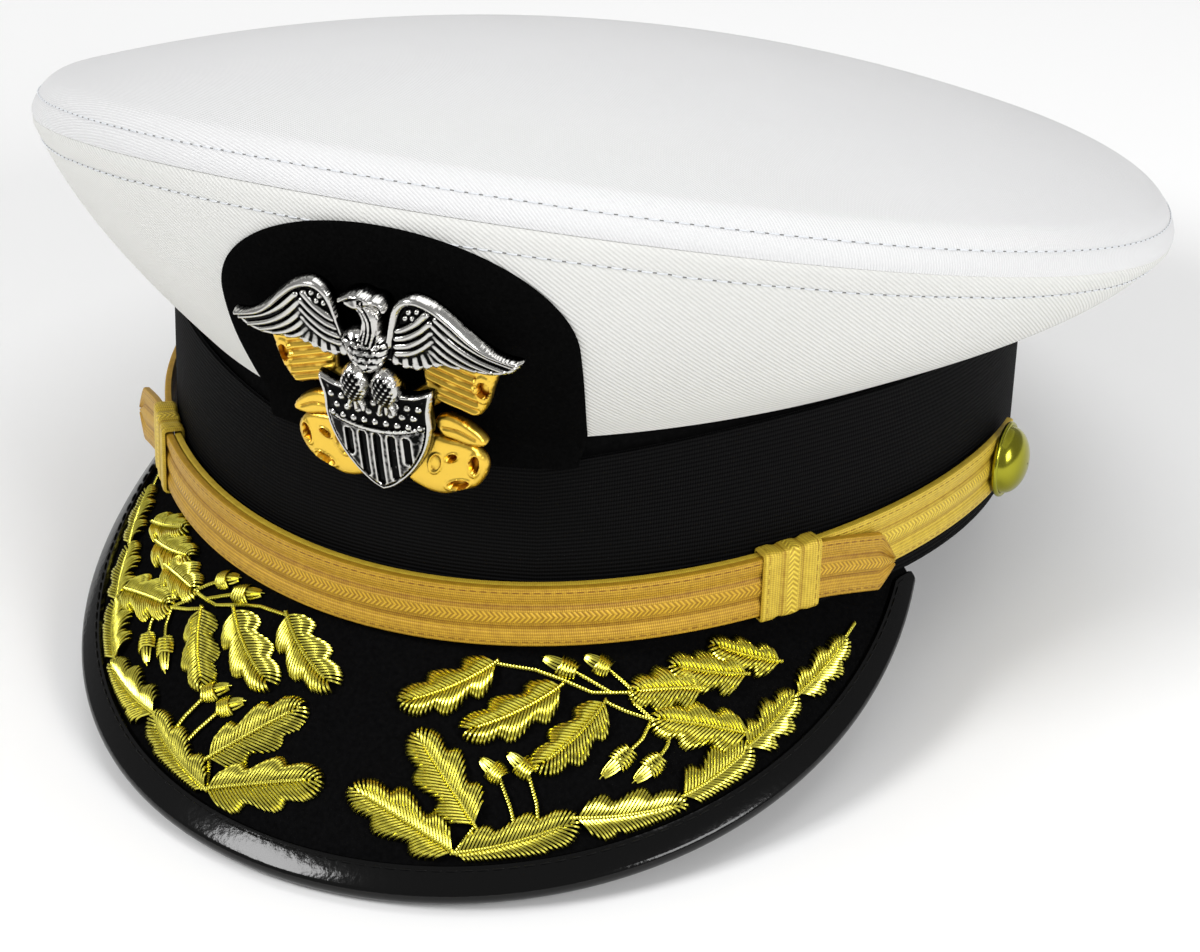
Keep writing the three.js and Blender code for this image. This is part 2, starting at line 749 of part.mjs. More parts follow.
function bent(solid) {
  const mesh = solid.getMesh();
  const points = [];
  for (let i = 0; i < mesh.vertProperties.length; i += 3) {
    const [x, h, d] = mesh.vertProperties.slice(i, i + 3);
    points.push(badgeBend(new THREE.Vector3(x * BADGE_HALF_SPAN, h * BADGE_HALF_SPAN, d)));
  }
  const faces = [];
  for (let i = 0; i < mesh.triVerts.length; i += 3) faces.push([...mesh.triVerts.slice(i, i + 3)]);
  return bodyOf(points, faces);
}

// A flat plate of a closed outline from one depth to another.
function plate(outline, from, to) {
  const shape = new THREE.Shape(outline.map(([x, h]) => new THREE.Vector2(x, h)));
  const made = new THREE.ExtrudeGeometry(shape, { depth: to - from, bevelEnabled: false });
  return solidOf(made.translate(0, 0, from));
}

// A bar with a raised middle from one place to another, wide at its start and narrow at its end.
function bar(from, to, wideFrom, wideTo, low, high) {
  const along = new THREE.Vector2(to[0] - from[0], to[1] - from[1]).normalize();
  const section = ([x, h], wide) => [
    new THREE.Vector3(x - along.y * wide, h + along.x * wide, low),
    new THREE.Vector3(x - along.y * wide * 0.5, h + along.x * wide * 0.5, high),
    new THREE.Vector3(x + along.y * wide * 0.5, h - along.x * wide * 0.5, high),
    new THREE.Vector3(x + along.y * wide, h - along.x * wide, low),
  ];
  return loft([section(from, wideFrom), section(to, wideTo)]);
}

function ball(x, h, d, rx, rh, rd, around, rows) {
  const sphere = new THREE.SphereGeometry(1, around, rows);
  return solidOf(sphere.scale(rx, rh, rd).translate(x, h, d));
}

const SHIELD_BACK = ANCHOR_WALL + 2 * GAP;
const EAGLE_BACK = SHIELD_BACK + SHIELD_WALL + GAP;

const ARM_WIDTH = 0.101;

// Crossed anchors, one cast piece: two shanks, each with a stock, a ring end and curved arms.
function anchorBody(side) {
  const low = 0;
  const high = ANCHOR_WALL;
  const at = (x, h) => [side * x, h];
  const arms = [at(-0.268, 0.117), at(-0.487, 0.185), at(-0.621, 0.369), at(-0.664, 0.604)];
  const pieces = [
    bar(at(0.57, 1.191), at(-0.436, 0.302), 0.07, 0.081, low, high),
    bar(at(0.319, 1.158), at(0.738, 0.822), 0.074, 0.087, low, high * 0.9),
    bar(at(0.47, 1.04), at(0.805, 1.091), 0.107, 0.067, low, high * 0.8),
    ball(side * 0.57, 1.124, high * 0.4, 0.114, 0.114, high * 0.6, 6, 4),
  ];
  for (let i = 0; i + 1 < arms.length; i++) {
    pieces.push(bar(arms[i], arms[i + 1], ARM_WIDTH, ARM_WIDTH, low, high * 0.85));
  }
  pieces.push(bar(at(-0.134, 0.087), at(-0.319, 0.154), 0.027, 0.121, low, high * 0.8));
  pieces.push(bar(at(-0.678, 0.688), at(-0.57, 0.47), 0.027, 0.121, low, high * 0.8));
  pieces.push(bar(at(-0.268, 0.336), at(-0.537, 0.201), 0.107, 0.114, low, high * 0.8));
  return joined(pieces);
}

const badgeAnchors = joined([anchorBody(1), anchorBody(-1)]).trimByPlane([0, 0, 1], 0);

// Shield: a plate with a raised edge, upright bars below and round studs above.
const SHIELD_OUTLINE = [
  [0, 0.114],
  [0.174, 0.242],
  [0.312, 0.423],
  [0.383, 0.654],
  [0.376, 0.839],
  [0.396, 0.953],
  [0.151, 0.913],
  [0, 0.96],
];
const shieldEdge = [
  ...SHIELD_OUTLINE,
  ...SHIELD_OUTLINE.slice(1, -1)
    .reverse()
    .map(([x, h]) => [-x, h]),
];

const SHIELD_MIDDLE = 0.537;
const SHIELD_BARS = [-0.228, -0.114, 0, 0.114, 0.228];
const CHIEF_LINE = [
  [-0.349, 0.624],
  [0.349, 0.624],
];
const STUDS = [
  [-0.268, 0.725],
  [-0.101, 0.725],
  [0.101, 0.725],
  [0.268, 0.725],
  [-0.289, 0.839],
  [0.289, 0.839],
];
const STUD_RADIUS = 0.03;

function shieldBody() {
  const top = SHIELD_BACK + SHIELD_WALL;
  const floor = top - SHIELD_RELIEF;
  const foot = floor - CAST_SINK;
  const pieces = [plate(shieldEdge, SHIELD_BACK, floor)];
  shieldEdge.forEach((from, i) => {
    const to = shieldEdge[(i + 1) % shieldEdge.length];
    const inset = ([x, h]) => [x * 0.94, SHIELD_MIDDLE + (h - SHIELD_MIDDLE) * 0.95];
    pieces.push(bar(inset(from), inset(to), 0.023, 0.023, foot, top));
  });
  for (const x of SHIELD_BARS) {
    pieces.push(bar([x, 0.604], [x, 0.188 + Math.abs(x) * 0.85], 0.025, 0.02, foot, top));
  }
  pieces.push(bar(CHIEF_LINE[0], CHIEF_LINE[1], 0.02, 0.02, foot, top));
  for (const [x, h] of STUDS) {
    pieces.push(ball(x, h, floor, STUD_RADIUS, STUD_RADIUS, SHIELD_RELIEF, 6, 3));
  }
  return joined(pieces);
}

// Eagle: a scaled body, a head turned to the side, two legs and spread wings with raised feathers.
const WING = [
  [0.084, 1.208],
  [0.154, 1.393],
  [0.268, 1.577],
  [0.369, 1.638],
  [0.503, 1.57],
  [0.671, 1.43],
  [0.839, 1.295],
  [1, 1.228],
  [0.973, 1.174],
  [0.805, 1.151],
  [0.638, 1.174],
  [0.47, 1.221],
  [0.302, 1.208],
  [0.134, 1.087],
];
const FEATHERS = [
  // from the wing's upper edge outwards, then the inner coverts
  { from: [0.403, 1.557], to: [0.94, 1.211], wide: 0.037 },
  { from: [0.386, 1.483], to: [0.872, 1.195], wide: 0.034 },
  { from: [0.356, 1.416], to: [0.758, 1.201], wide: 0.034 },
  { from: [0.322, 1.356], to: [0.617, 1.225], wide: 0.03 },
  { from: [0.275, 1.309], to: [0.47, 1.248], wide: 0.03 },
];

const WING_EDGE = [
  [0.107, 1.262],
  [0.174, 1.409],
  [0.315, 1.587],
  [0.503, 1.54],
  [0.671, 1.403],
  [0.966, 1.218],
];
const WING_EDGE_WIDTH = 0.037;

function wingBody(side) {
  const low = SHIELD_BACK + GAP;
  const high = low + WING_WALL;
  const at = ([x, h]) => [side * x, h];
  const pieces = [plate(WING.map(at), low, high)];
  for (const { from, to, wide } of FEATHERS) {
    pieces.push(bar(at(from), at(to), wide, wide * 0.5, high - CAST_SINK, high + FEATHER_RELIEF));
  }
  for (let i = 0; i + 1 < WING_EDGE.length; i++) {
    const [from, to] = [at(WING_EDGE[i]), at(WING_EDGE[i + 1])];
    const top = high + WING_EDGE_RELIEF;
    pieces.push(bar(from, to, WING_EDGE_WIDTH, WING_EDGE_WIDTH, high - CAST_SINK, top));
  }
  return joined(pieces);
}

// Rounded parts of the eagle: place, half sizes, and out and high as shares of its relief
const EAGLE_ROUNDS = [
  { at: [0, 1.221], half: [0.154, 0.242], out: 0, high: 1 }, // breast
  { at: [-0.02, 1.436], half: [0.081, 0.148], out: 0, high: 0.69 }, // neck
  { at: [-0.013, 1.57], half: [0.084, 0.067], out: 0.06, high: 0.62 }, // head
  { at: [-0.087, 1.013], half: [0.07, 0.107], out: 0.5, high: 0.6 }, // legs
  { at: [0.087, 1.013], half: [0.07, 0.107], out: 0.5, high: 0.6 },
];
const CLAWS = [
  { from: [-0.094, 0.96], to: [-0.107, 0.832] },
  { from: [0.094, 0.96], to: [0.107, 0.832] },
];
const BEAK = { from: [0.02, 1.577], to: [0.148, 1.53] };

function eagleBody() {
  const clawTop = EAGLE_BACK + BODY_RELIEF * 0.69;
  return joined([
    wingBody(1),
    wingBody(-1),
    ...EAGLE_ROUNDS.map(({ at, half, out, high }) =>
      ball(at[0], at[1], EAGLE_BACK + BODY_RELIEF * out, half[0], half[1], BODY_RELIEF * high, 8, 5),
    ),
    ...CLAWS.map(({ from, to }) => bar(from, to, 0.04, 0.027, EAGLE_BACK, clawTop)),
    bar(BEAK.from, BEAK.to, 0.037, 0.013, EAGLE_BACK - CAST_SINK, EAGLE_BACK + BODY_RELIEF * 0.31),
  ]);
}

const badgeShield = bent(shieldBody());
const badgeEagle = bent(eagleBody().trimByPlane([0, 0, 1], SHIELD_BACK + GAP));

// Materials
const white = new THREE.MeshStandardMaterial({ color: 0xe9ebee, roughness: 0.85 });
const black = new THREE.MeshStandardMaterial({ color: 0x0b0b0d, roughness: 0.9 });
const leather = new THREE.MeshStandardMaterial({ color: 0x0a0a0b, roughness: 0.2 });
const bullion = new THREE.MeshStandardMaterial({ color: 0xc9b51c, roughness: 0.4, metalness: 0.9 });
const lace = new THREE.MeshStandardMaterial({ color: 0xe2a52a, roughness: 0.5, metalness: 0.7 });
const gilt = new THREE.MeshStandardMaterial({ color: 0xc2b040, roughness: 0.15, metalness: 1 });
const gold = new THREE.MeshStandardMaterial({ color: 0xe5ac3c, roughness: 0.3, metalness: 1 });
const silver = new THREE.MeshStandardMaterial({ color: 0xb8b9b8, roughness: 0.25, metalness: 1 });

const cap = new THREE.Group();

function addPiece(name, solid, material) {
  const mesh = new THREE.Mesh(geometryOf(solid), material);
  mesh.name = name;
  cap.add(mesh);
  return mesh;
}

const frameMesh = addPiece("band_frame", frame, black);
addPiece("band_ribbon", ribbon, black);
addPiece("crown_side", crownSide, white);
addPiece("crown_top", crownTop, white);
addPiece("visor", visor, black);
const bindingMesh = addPiece("visor_binding", visorBinding, leather);
addPiece("embroidery_left", embroideryLeft, bullion);
addPiece("embroidery_right", embroideryRight, bullion);
addPiece("strap_outer", strapOuter, lace);
addPiece("strap_inner", strapInner, lace);
addPiece("strap_tip_left", strapTipLeft, lace);
addPiece("keeper_left", keeperBody(-1), lace);
addPiece("keeper_right", keeperBody(1), lace);
addPiece("button_left", buttonBody(-1), gilt);
addPiece("button_right", buttonBody(1), gilt);
addPiece("badge_patch", badgePatch, black);
addPiece("badge_anchors", bent(badgeAnchors), gold);
addPiece("badge_shield", badgeShield, silver);
addPiece("badge_eagle", badgeEagle, silver);

// Resting: the cap tips back until the front of its peak and the back of its band are level.
function lowest(mesh, tilt) {
  const places = mesh.geometry.attributes.position;
  let low = Infinity;
  for (let i = 0; i < places.count; i++) {
    low = Math.min(low, places.getZ(i) * Math.cos(tilt) - places.getY(i) * Math.sin(tilt));
  }
  return low;
}

let least = 0;
let most = 30 * RAD;
for (let i = 0; i < 40; i++) {
  const half = (least + most) / 2;
  if (lowest(bindingMesh, half) < lowest(frameMesh, half)) least = half;
  else most = half;
}
cap.rotation.x = -least;

const root = new THREE.Group();
root.add(cap);
root.updateMatrixWorld(true);
const box = new THREE.Box3().setFromObject(root, true);
cap.position.set(-(box.min.x + box.max.x) / 2, -(box.min.y + box.max.y) / 2, -box.min.z);

export default root;
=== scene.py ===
# A military peaked cap lying on a pale floor. Surfaces are worked out in millimetres in the frame in
# which the cap is worn, with its band level, and then laid back as it rests and turned to metres.
import math

import bpy
import numpy as np
from mathutils import Matrix


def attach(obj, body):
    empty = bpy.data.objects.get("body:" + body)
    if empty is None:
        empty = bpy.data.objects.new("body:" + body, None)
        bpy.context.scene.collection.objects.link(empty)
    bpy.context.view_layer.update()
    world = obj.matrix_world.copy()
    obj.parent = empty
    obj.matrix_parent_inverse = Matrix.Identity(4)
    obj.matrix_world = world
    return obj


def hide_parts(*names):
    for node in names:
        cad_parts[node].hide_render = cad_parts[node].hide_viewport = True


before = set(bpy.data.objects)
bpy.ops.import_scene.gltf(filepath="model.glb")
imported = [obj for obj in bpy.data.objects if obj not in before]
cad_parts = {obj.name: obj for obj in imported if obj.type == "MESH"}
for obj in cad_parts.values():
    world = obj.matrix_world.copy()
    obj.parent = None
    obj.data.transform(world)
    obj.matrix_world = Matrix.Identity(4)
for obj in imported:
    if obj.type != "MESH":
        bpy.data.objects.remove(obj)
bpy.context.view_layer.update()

RAD = math.pi / 180
REST_TILT = 9.982623
REST_SHIFT_Y = 13.1483
REST_SHIFT_Z = 17.5083

# Head band
BAND_HALF_WIDTH = 92
BAND_HALF_LENGTH = 102.5
FRAME_WALL = 2.2
RIBBON_WALL = 1.2
GAP = 0.3
SIDE_ARCH = 2.5
RIBBON_TOP = (37.2, 45.5, 41.5)
CROWN_FOOT = (43, 47, 43)
RISE_FROM = 18
RISE_TO = 60
RIBBON_HEM = 1
FRAME_TOP_HIDDEN = 3

# Crown
CLOTH_WALL = 1.6
CROWN_FOOT_OUT = 0.4
RIM_HALF_WIDTH = 125
RIM_FRONT_REACH = 112
RIM_BACK_REACH = 117
RIM_CENTRE_Y = -6.2
RIM_CENTRE_Z = 67.3
RIM_TILT = 9.2
RIM_FRONT_LIFT = 5.6
RIM_BACK_LIFT = 9.3
SIDE_BULGE = 3.7
ROLL_RISE = 7
ROLL_SHARE = 0.05
DOME_RISE = 22
SEAM_STITCH_OFF = 5

# Peak
PEAK_SLOPE = 46.5
PEAK_DEPTH = 55.5
PEAK_HALF_SPAN = 71
PEAK_LEAST_DEPTH = 3.5
BOARD_WALL = 2
BOARD_ROOT = -0.95
BINDING_WIDTH = 7.2
BINDING_WALL = 0.9

# Chin strap
STRAP_WIDTH = 12.7
STRAP_WALL = 1.4
STRAP_MIDDLE = (5.8, 15.5)
STRAP_TIP_AT = 63.4
STRAP_TIP_LENGTH = 2.4
STRAP_TIP_DROP = 5  # how far each free end hangs below the strap behind it
STRAP_TIP_FLARE = 5
KEEPER_FROM = 44.4
KEEPER_TO = 51.8
KEEPER_WALL = 0.7
KEEPER_MARGIN = 0.9
BUTTON_AT = 89
BUTTON_RADIUS = 8.25
BUTTON_DOME = 5.6
INNER_TRACK = KEEPER_WALL + 2 * GAP
OUTER_TRACK = INNER_TRACK + STRAP_WALL + GAP

# Badge
BADGE_SIDE = 3
PATCH_WALL = 1.2
PATCH_HALF_WIDTH = 37
PATCH_FOOT_HALF_WIDTH = 32.5
PATCH_SHOULDER_Z = 66
PATCH_TOP_Z = 87.3
BADGE_FOOT_OFF = 4.5
BADGE_BASE_Z = 30
BADGE_TOUCH_Z = 68
BADGE_BEND_RADIUS = 150

rng = np.random.default_rng(7)


# ---- places on the cap, all in the worn frame ----
def stack(x, y, z):
    return np.stack(np.broadcast_arrays(x, y, z), -1).astype(float)


def unit(v):
    return v / np.maximum(np.linalg.norm(v, axis=-1, keepdims=True), 1e-9)


def rest(points):
    c, s = math.cos(REST_TILT * RAD), math.sin(REST_TILT * RAD)
    x, y, z = points[..., 0], points[..., 1], points[..., 2]
    return stack(x, y * c + z * s + REST_SHIFT_Y, z * c - y * s + REST_SHIFT_Z) / 1000


def rest_way(way):
    return rest(np.asarray(way, float)) - rest(np.zeros(3))


def band_outward(a):
    x = np.sin(a * RAD) / BAND_HALF_WIDTH
    y = -np.cos(a * RAD) / BAND_HALF_LENGTH
    return unit(stack(x, y, 0))


def band_point(a, out, z):
    a = np.asarray(a, float)
    flat = stack(BAND_HALF_WIDTH * np.sin(a * RAD), -BAND_HALF_LENGTH * np.cos(a * RAD), z)
    return flat + band_outward(a) * np.asarray(out, float)[..., None]


def band_foot(a):
    return SIDE_ARCH * np.sin(a * RAD) ** 4


def height_round(a, front, side, back):
    from_front = np.abs((a + 540) % 360 - 180)
    share = np.clip((from_front - RISE_FROM) / (RISE_TO - RISE_FROM), 0, 1)
    behind = np.maximum(0, -np.cos(a * RAD)) ** 2
    return front + (side - front) * np.sin(share * np.pi / 2) + (back - side) * behind


def rim_point(a, share, lift):
    across = np.sin(a * RAD) * share
    along = -np.cos(a * RAD) * share
    reach = np.where(along < 0, RIM_FRONT_REACH, RIM_BACK_REACH)
    raised = np.where(along < 0, RIM_FRONT_LIFT, RIM_BACK_LIFT) * along ** 2 + lift
    t = RIM_TILT * RAD
    return stack(
        RIM_HALF_WIDTH * across,
        RIM_CENTRE_Y + reach * along * math.cos(t) + raised * math.sin(t),
        RIM_CENTRE_Z - reach * along * math.sin(t) + raised * math.cos(t),
    )


def side_point(a, share):
    a, share = np.broadcast_arrays(np.asarray(a, float), np.asarray(share, float))
    foot = band_point(a, np.full_like(a, CROWN_FOOT_OUT), height_round(a, *CROWN_FOOT))
    rim = rim_point(a, 1.0, -GAP / 2)
    chord = rim - foot
    level = np.hypot(chord[..., 0], chord[..., 1])
    away = band_outward(a)
    bulge = unit(stack(chord[..., 2] * away[..., 0], chord[..., 2] * away[..., 1], -level))
    s = share[..., None]
    return foot + chord * s + bulge * (4 * SIDE_BULGE * s * (1 - s))


def top_point(a, share):
    start = 1 - ROLL_SHARE
    inner = np.clip((share - start) / ROLL_SHARE, 0, 1)
    roll = np.sqrt(np.maximum(0, 1 - inner ** 2))
    return rim_point(a, share, GAP / 2 + ROLL_RISE * roll + DOME_RISE * (1 - share ** 2))


def peak_point(a, out, lift):
    a, out, lift = np.broadcast_arrays(*(np.asarray(v, float) for v in (a, out, lift)))
    c, s = math.cos(PEAK_SLOPE * RAD), math.sin(PEAK_SLOPE * RAD)
    return band_point(a, out * c + lift * s, band_foot(a) - out * s + lift * c)


def peak_depth(a):
    return PEAK_DEPTH * (1 - (a / PEAK_HALF_SPAN) ** 2)


PEAK_END = PEAK_HALF_SPAN * math.sqrt(1 - PEAK_LEAST_DEPTH / PEAK_DEPTH)


def strap_middle(a):
    return STRAP_MIDDLE[0] + (STRAP_MIDDLE[1] - STRAP_MIDDLE[0]) * np.sin(a * RAD) ** 2


# ---- meshes ----
def add_mesh(name, points, faces, uvs=None, sharp=35, smooth=True):
    mesh = bpy.data.meshes.new(name)
    mesh.from_pydata(rest(np.asarray(points, float)).tolist(), [], faces)
    if uvs is not None:
        layer = mesh.uv_layers.new(name="cut")
        layer.data.foreach_set("uv", np.asarray(uvs, np.float32).ravel())
    mesh.validate()
    if smooth:
        mesh.polygons.foreach_set("use_smooth", [True] * len(mesh.polygons))
        mesh.set_sharp_from_angle(angle=sharp * RAD)
    mesh.update()
    obj = bpy.data.objects.new(name, mesh)
    bpy.context.scene.collection.objects.link(obj)
    return obj


def grid_faces(rows, cols, ring, closed, base=0):
    """Quads between rows and columns, and the unwrapped (row, column) of each corner."""
    i, j = np.meshgrid(np.arange(rows if ring else rows - 1), np.arange(cols if closed else cols - 1), indexing="ij")
    i, j = i.ravel(), j.ravel()
    corner_i = np.stack([i, i + 1, i + 1, i], 1)
    corner_j = np.stack([j, j, j + 1, j + 1], 1)
    index = (corner_i % rows) * cols + corner_j % cols + base
    return index, corner_i, corner_j


def outward(points, faces):
    """Turns all faces round if the closed body is inside out."""
    p = points[np.asarray(faces)[:, :3]]
    volume = np.einsum("ij,ij->i", p[:, 0], np.cross(p[:, 1], p[:, 2])).sum()
    q = points[np.asarray(faces)[:, [0, 2, 3]]]
    volume += np.einsum("ij,ij->i", q[:, 0], np.cross(q[:, 1], q[:, 2])).sum()
    return volume >= 0


def lofted(name, rows, ring=False, sharp=35, uv=True, cross=None):
    """A closed body whose rows are closed turns of points. cross gives the cut's place across, by point."""
    rows = np.asarray(rows, float)
    count, cols = rows.shape[:2]
    index, ci, cj = grid_faces(count, cols, ring, True)
    points = rows.reshape(-1, 3)
    turned = not outward(points, index)
    faces = index[:, ::-1] if turned else index
    uvs = None
    if uv:
        wrapped = np.concatenate([rows, rows[:1]], 0) if ring else rows
        along = np.linalg.norm(np.diff(wrapped, axis=0), axis=2).mean(1)
        u = np.concatenate([[0], np.cumsum(along)])
        if not ring:
            u = np.concatenate([u, u[-1:]])
        around = np.concatenate([rows, rows[:, :1]], 1)
        across = np.linalg.norm(np.diff(around, axis=1), axis=2).mean(0)
        v = np.concatenate([[0], np.cumsum(across)])
        if cross is not None:
            v = np.concatenate([cross, cross[:1]])
        flat = np.stack([u[ci], v[cj]], -1) / 1000
        if turned:
            flat = flat[:, ::-1]
        uvs = flat.reshape(-1, 2).tolist()
    faces = faces.tolist()
    if not ring:
        first = list(range(cols))
        last = list(range((count - 1) * cols, count * cols))
        ends = [first, last[::-1]] if turned else [first[::-1], last]
        faces += ends
        if uvs is not None:
            uvs += [[0.0, 0.0]] * (2 * cols)
    return add_mesh(name, points, faces, uvs, sharp)


def wall(outer, thickness, ways, hem=0.5, steps=3):
    """Profile of a cloth wall: outer face, rounded edges and inner face. outer is (..., n, 3)."""
    inner = outer + ways * thickness
    first = (outer[..., :1, :] + inner[..., :1, :]) / 2
    last = (outer[..., -1:, :] + inner[..., -1:, :]) / 2
    down = unit(outer[..., :1, :] - outer[..., 1:2, :]) * hem
    up = unit(outer[..., -1:, :] - outer[..., -2:-1, :]) * hem
    return np.concatenate([first + down, outer, last + up, inner[..., ::-1, :]], -2)


# ---- materials ----
def new_material(name, colour, roughness, metallic=0.0, specular=0.5, sheen=0.0, coat=0.0):
    mat = bpy.data.materials.new(name)
    mat.use_nodes = True
    shader = mat.node_tree.nodes["Principled BSDF"]
    shader.inputs["Base Color"].default_value = (*colour, 1)
    shader.inputs["Roughness"].default_value = roughness
    shader.inputs["Metallic"].default_value = metallic
    shader.inputs["Specular IOR Level"].default_value = specular
    if sheen:
        shader.inputs["Sheen Weight"].default_value = sheen
        shader.inputs["Sheen Roughness"].default_value = 0.5
    if coat:
        shader.inputs["Coat Weight"].default_value = coat
        shader.inputs["Coat Roughness"].default_value = 0.08
    mat.diffuse_color = (*colour, 1)
    return mat


class Nodes:
    """Short calls for a material's node tree."""

    def __init__(self, mat):
        self.tree = mat.node_tree
        self.shader = self.tree.nodes["Principled BSDF"]

    def add(self, kind, **settings):
        node = self.tree.nodes.new(kind)
        for key, value in settings.items():
            setattr(node, key, value)
        return node

    def link(self, a, b):
        self.tree.links.new(a, b)

    def number(self, operation, a, b=None, c=None):
        node = self.add("ShaderNodeMath", operation=operation)
        for socket, value in zip(node.inputs, (a, b, c)):
            if value is None:
                continue
            if hasattr(value, "is_linked"):
                self.link(value, socket)
            else:
                socket.default_value = value
        return node.outputs[0]

    def uv(self):
        split = self.add("ShaderNodeSeparateXYZ")
        self.link(self.add("ShaderNodeUVMap", uv_map="cut").outputs[0], split.inputs[0])
        return split.outputs[0], split.outputs[1]

    def wave(self, x, y, pitch, turn):
        """0 to 1 and back along a direction of the cut, once each pitch (metres)."""
        k = 2 * math.pi / pitch
        along = self.number("ADD", self.number("MULTIPLY", x, k * math.cos(turn * RAD)),
                            self.number("MULTIPLY", y, k * math.sin(turn * RAD)))
        return self.number("MULTIPLY_ADD", self.number("SINE", along), 0.5, 0.5)

    def noise(self, scale, detail=2.0, coordinates="Object"):
        node = self.add("ShaderNodeTexNoise")
        node.inputs["Scale"].default_value = scale
        node.inputs["Detail"].default_value = detail
        place = self.add("ShaderNodeTexCoord")
        self.link(place.outputs[coordinates], node.inputs["Vector"])
        return node.outputs["Fac"]

    def mix_colour(self, factor, dark, light):
        ramp = self.add("ShaderNodeValToRGB")
        ramp.color_ramp.elements[0].color = (*dark, 1)
        ramp.color_ramp.elements[1].color = (*light, 1)
        self.link(factor, ramp.inputs[0])
        self.link(ramp.outputs[0], self.shader.inputs["Base Color"])

    def bump(self, height, distance, strength=1.0):
        node = self.add("ShaderNodeBump")
        node.inputs["Distance"].default_value = distance
        node.inputs["Strength"].default_value = strength
        self.link(height, node.inputs["Height"])
        self.link(node.outputs[0], self.shader.inputs["Normal"])


def twill(name, dark, light):
    mat = new_material(name, light, 0.85, specular=0.2, sheen=0.05)
    n = Nodes(mat)
    x, y = n.uv()
    ridge = n.wave(x, y, 0.0006, 62)
    cloud = n.noise(30, 3)
    height = n.number("ADD", ridge, n.number("MULTIPLY", n.noise(2500, 1), 0.5))
    n.mix_colour(n.number("MULTIPLY_ADD", ridge, 0.7, n.number("MULTIPLY", cloud, 0.3)),
                 dark, light)
    n.bump(height, 0.00009)
    return mat


def ribbon_weave():
    mat = new_material("black ribbon", (0.003, 0.003, 0.003), 0.7, specular=0.03)
    n = Nodes(mat)
    x, y = n.uv()
    rib = n.wave(x, y, 0.0009, 90)
    pick = n.wave(x, y, 0.0005, 0)
    height = n.number("ADD", rib, n.number("MULTIPLY", pick, 0.35))
    n.mix_colour(height, (0.0012, 0.0012, 0.0013), (0.0060, 0.0060, 0.0062))
    n.bump(height, 0.00015)
    return mat


def black_cloth(name, low, high, scale=900):
    mat = new_material(name, low, 0.95, specular=0.004)
    n = Nodes(mat)
    fuzz = n.noise(scale, 4)
    n.mix_colour(fuzz, low, high)
    n.bump(fuzz, 0.0002)
    return mat


def patent():
    mat = new_material("patent leather", (0.0015, 0.0015, 0.0015), 0.12, specular=0.3)
    n = Nodes(mat)
    grain = n.number("ADD", n.noise(700, 3), n.number("MULTIPLY", n.noise(120, 2), 0.8))
    n.bump(grain, 0.0001, 0.5)
    return mat


def metal(name, dark, light, roughness, scale, bump=0.00003):
    mat = new_material(name, light, roughness, metallic=1.0)
    n = Nodes(mat)
    cloud = n.noise(scale, 3)
    n.mix_colour(cloud, dark, light)
    n.bump(cloud, bump)
    return mat


def lace(name, dark, light, metallic):
    """Gold lace: a braided rib along its middle, plain bands beside it and a stitched, wired edge."""
    mat = new_material(name, light, 0.45, metallic=metallic)
    n = Nodes(mat)
    x, y = n.uv()
    off = n.number("ABSOLUTE", y)
    braid_zone = n.number("LESS_THAN", off, 0.0011)
    slant = n.number("MULTIPLY_ADD", off, 0.9, x)
    braid = n.wave(slant, y, 0.00105, 0)
    thread = n.wave(x, y, 0.00042, 8)
    cord = n.wave(x, y, 0.0006, 90)
    brocade = n.number("ADD", n.number("MULTIPLY", thread, 0.35), n.number("MULTIPLY", cord, 0.4))
    groove = n.number("SUBTRACT", 1.0, n.number("SMOOTH_MIN", n.number("MULTIPLY", n.number("ABSOLUTE", n.number(
        "SUBTRACT", off, 0.0021)), 1400), 1.0, 0.1))
    dash = n.number("MULTIPLY", n.number("GREATER_THAN", n.wave(x, y, 0.0021, 0), 0.35),
                    n.number("LESS_THAN", n.number("ABSOLUTE", n.number("SUBTRACT", off, 0.0053)), 0.00013))
    patch = n.number("MULTIPLY", n.noise(700, 3), 0.5)
    height = n.number("ADD", n.number("MULTIPLY", braid, braid_zone),
                      n.number("MULTIPLY", brocade, n.number("SUBTRACT", 1.0, braid_zone)))
    # Painted shade: the groove beside the braid and the stitch dashes are coloured darker.
    tone = n.number("SUBTRACT", n.number("ADD", n.number("MULTIPLY", height, 0.75), patch),
                    n.number("ADD", n.number("MULTIPLY", groove, 0.35), n.number("MULTIPLY", dash, 0.5)))
    n.mix_colour(tone, dark, light)
    n.bump(n.number("SUBTRACT", height, dash), 0.00012)
    return mat


def toned(name, dark, light, roughness, low=0.3, high=0.6):
    """Metal whose hollows, lower plies and undersides are painted dark as shade, by the tone kept at its points."""
    mat = new_material(name, light, roughness, metallic=1.0)
    n = Nodes(mat)
    # Painted shade: the tone attribute darkens hollows and undersides, mixed with a random mottle from noise.
    tone = n.add("ShaderNodeAttribute", attribute_name="tone")
    painted_shade_and_mottle = n.number("MULTIPLY_ADD", n.noise(900, 3), 0.3, n.number("SUBTRACT", tone.outputs["Fac"], 0.15))
    ramp = n.add("ShaderNodeValToRGB")
    ramp.color_ramp.elements[0].position = low
    ramp.color_ramp.elements[1].position = high
    ramp.color_ramp.elements[0].color = (*dark, 1)
    ramp.color_ramp.elements[1].color = (*light, 1)
    n.link(painted_shade_and_mottle, ramp.inputs[0])
    n.link(ramp.outputs[0], n.shader.inputs["Base Color"])
    n.bump(n.noise(700, 3), 0.00004)
    return mat
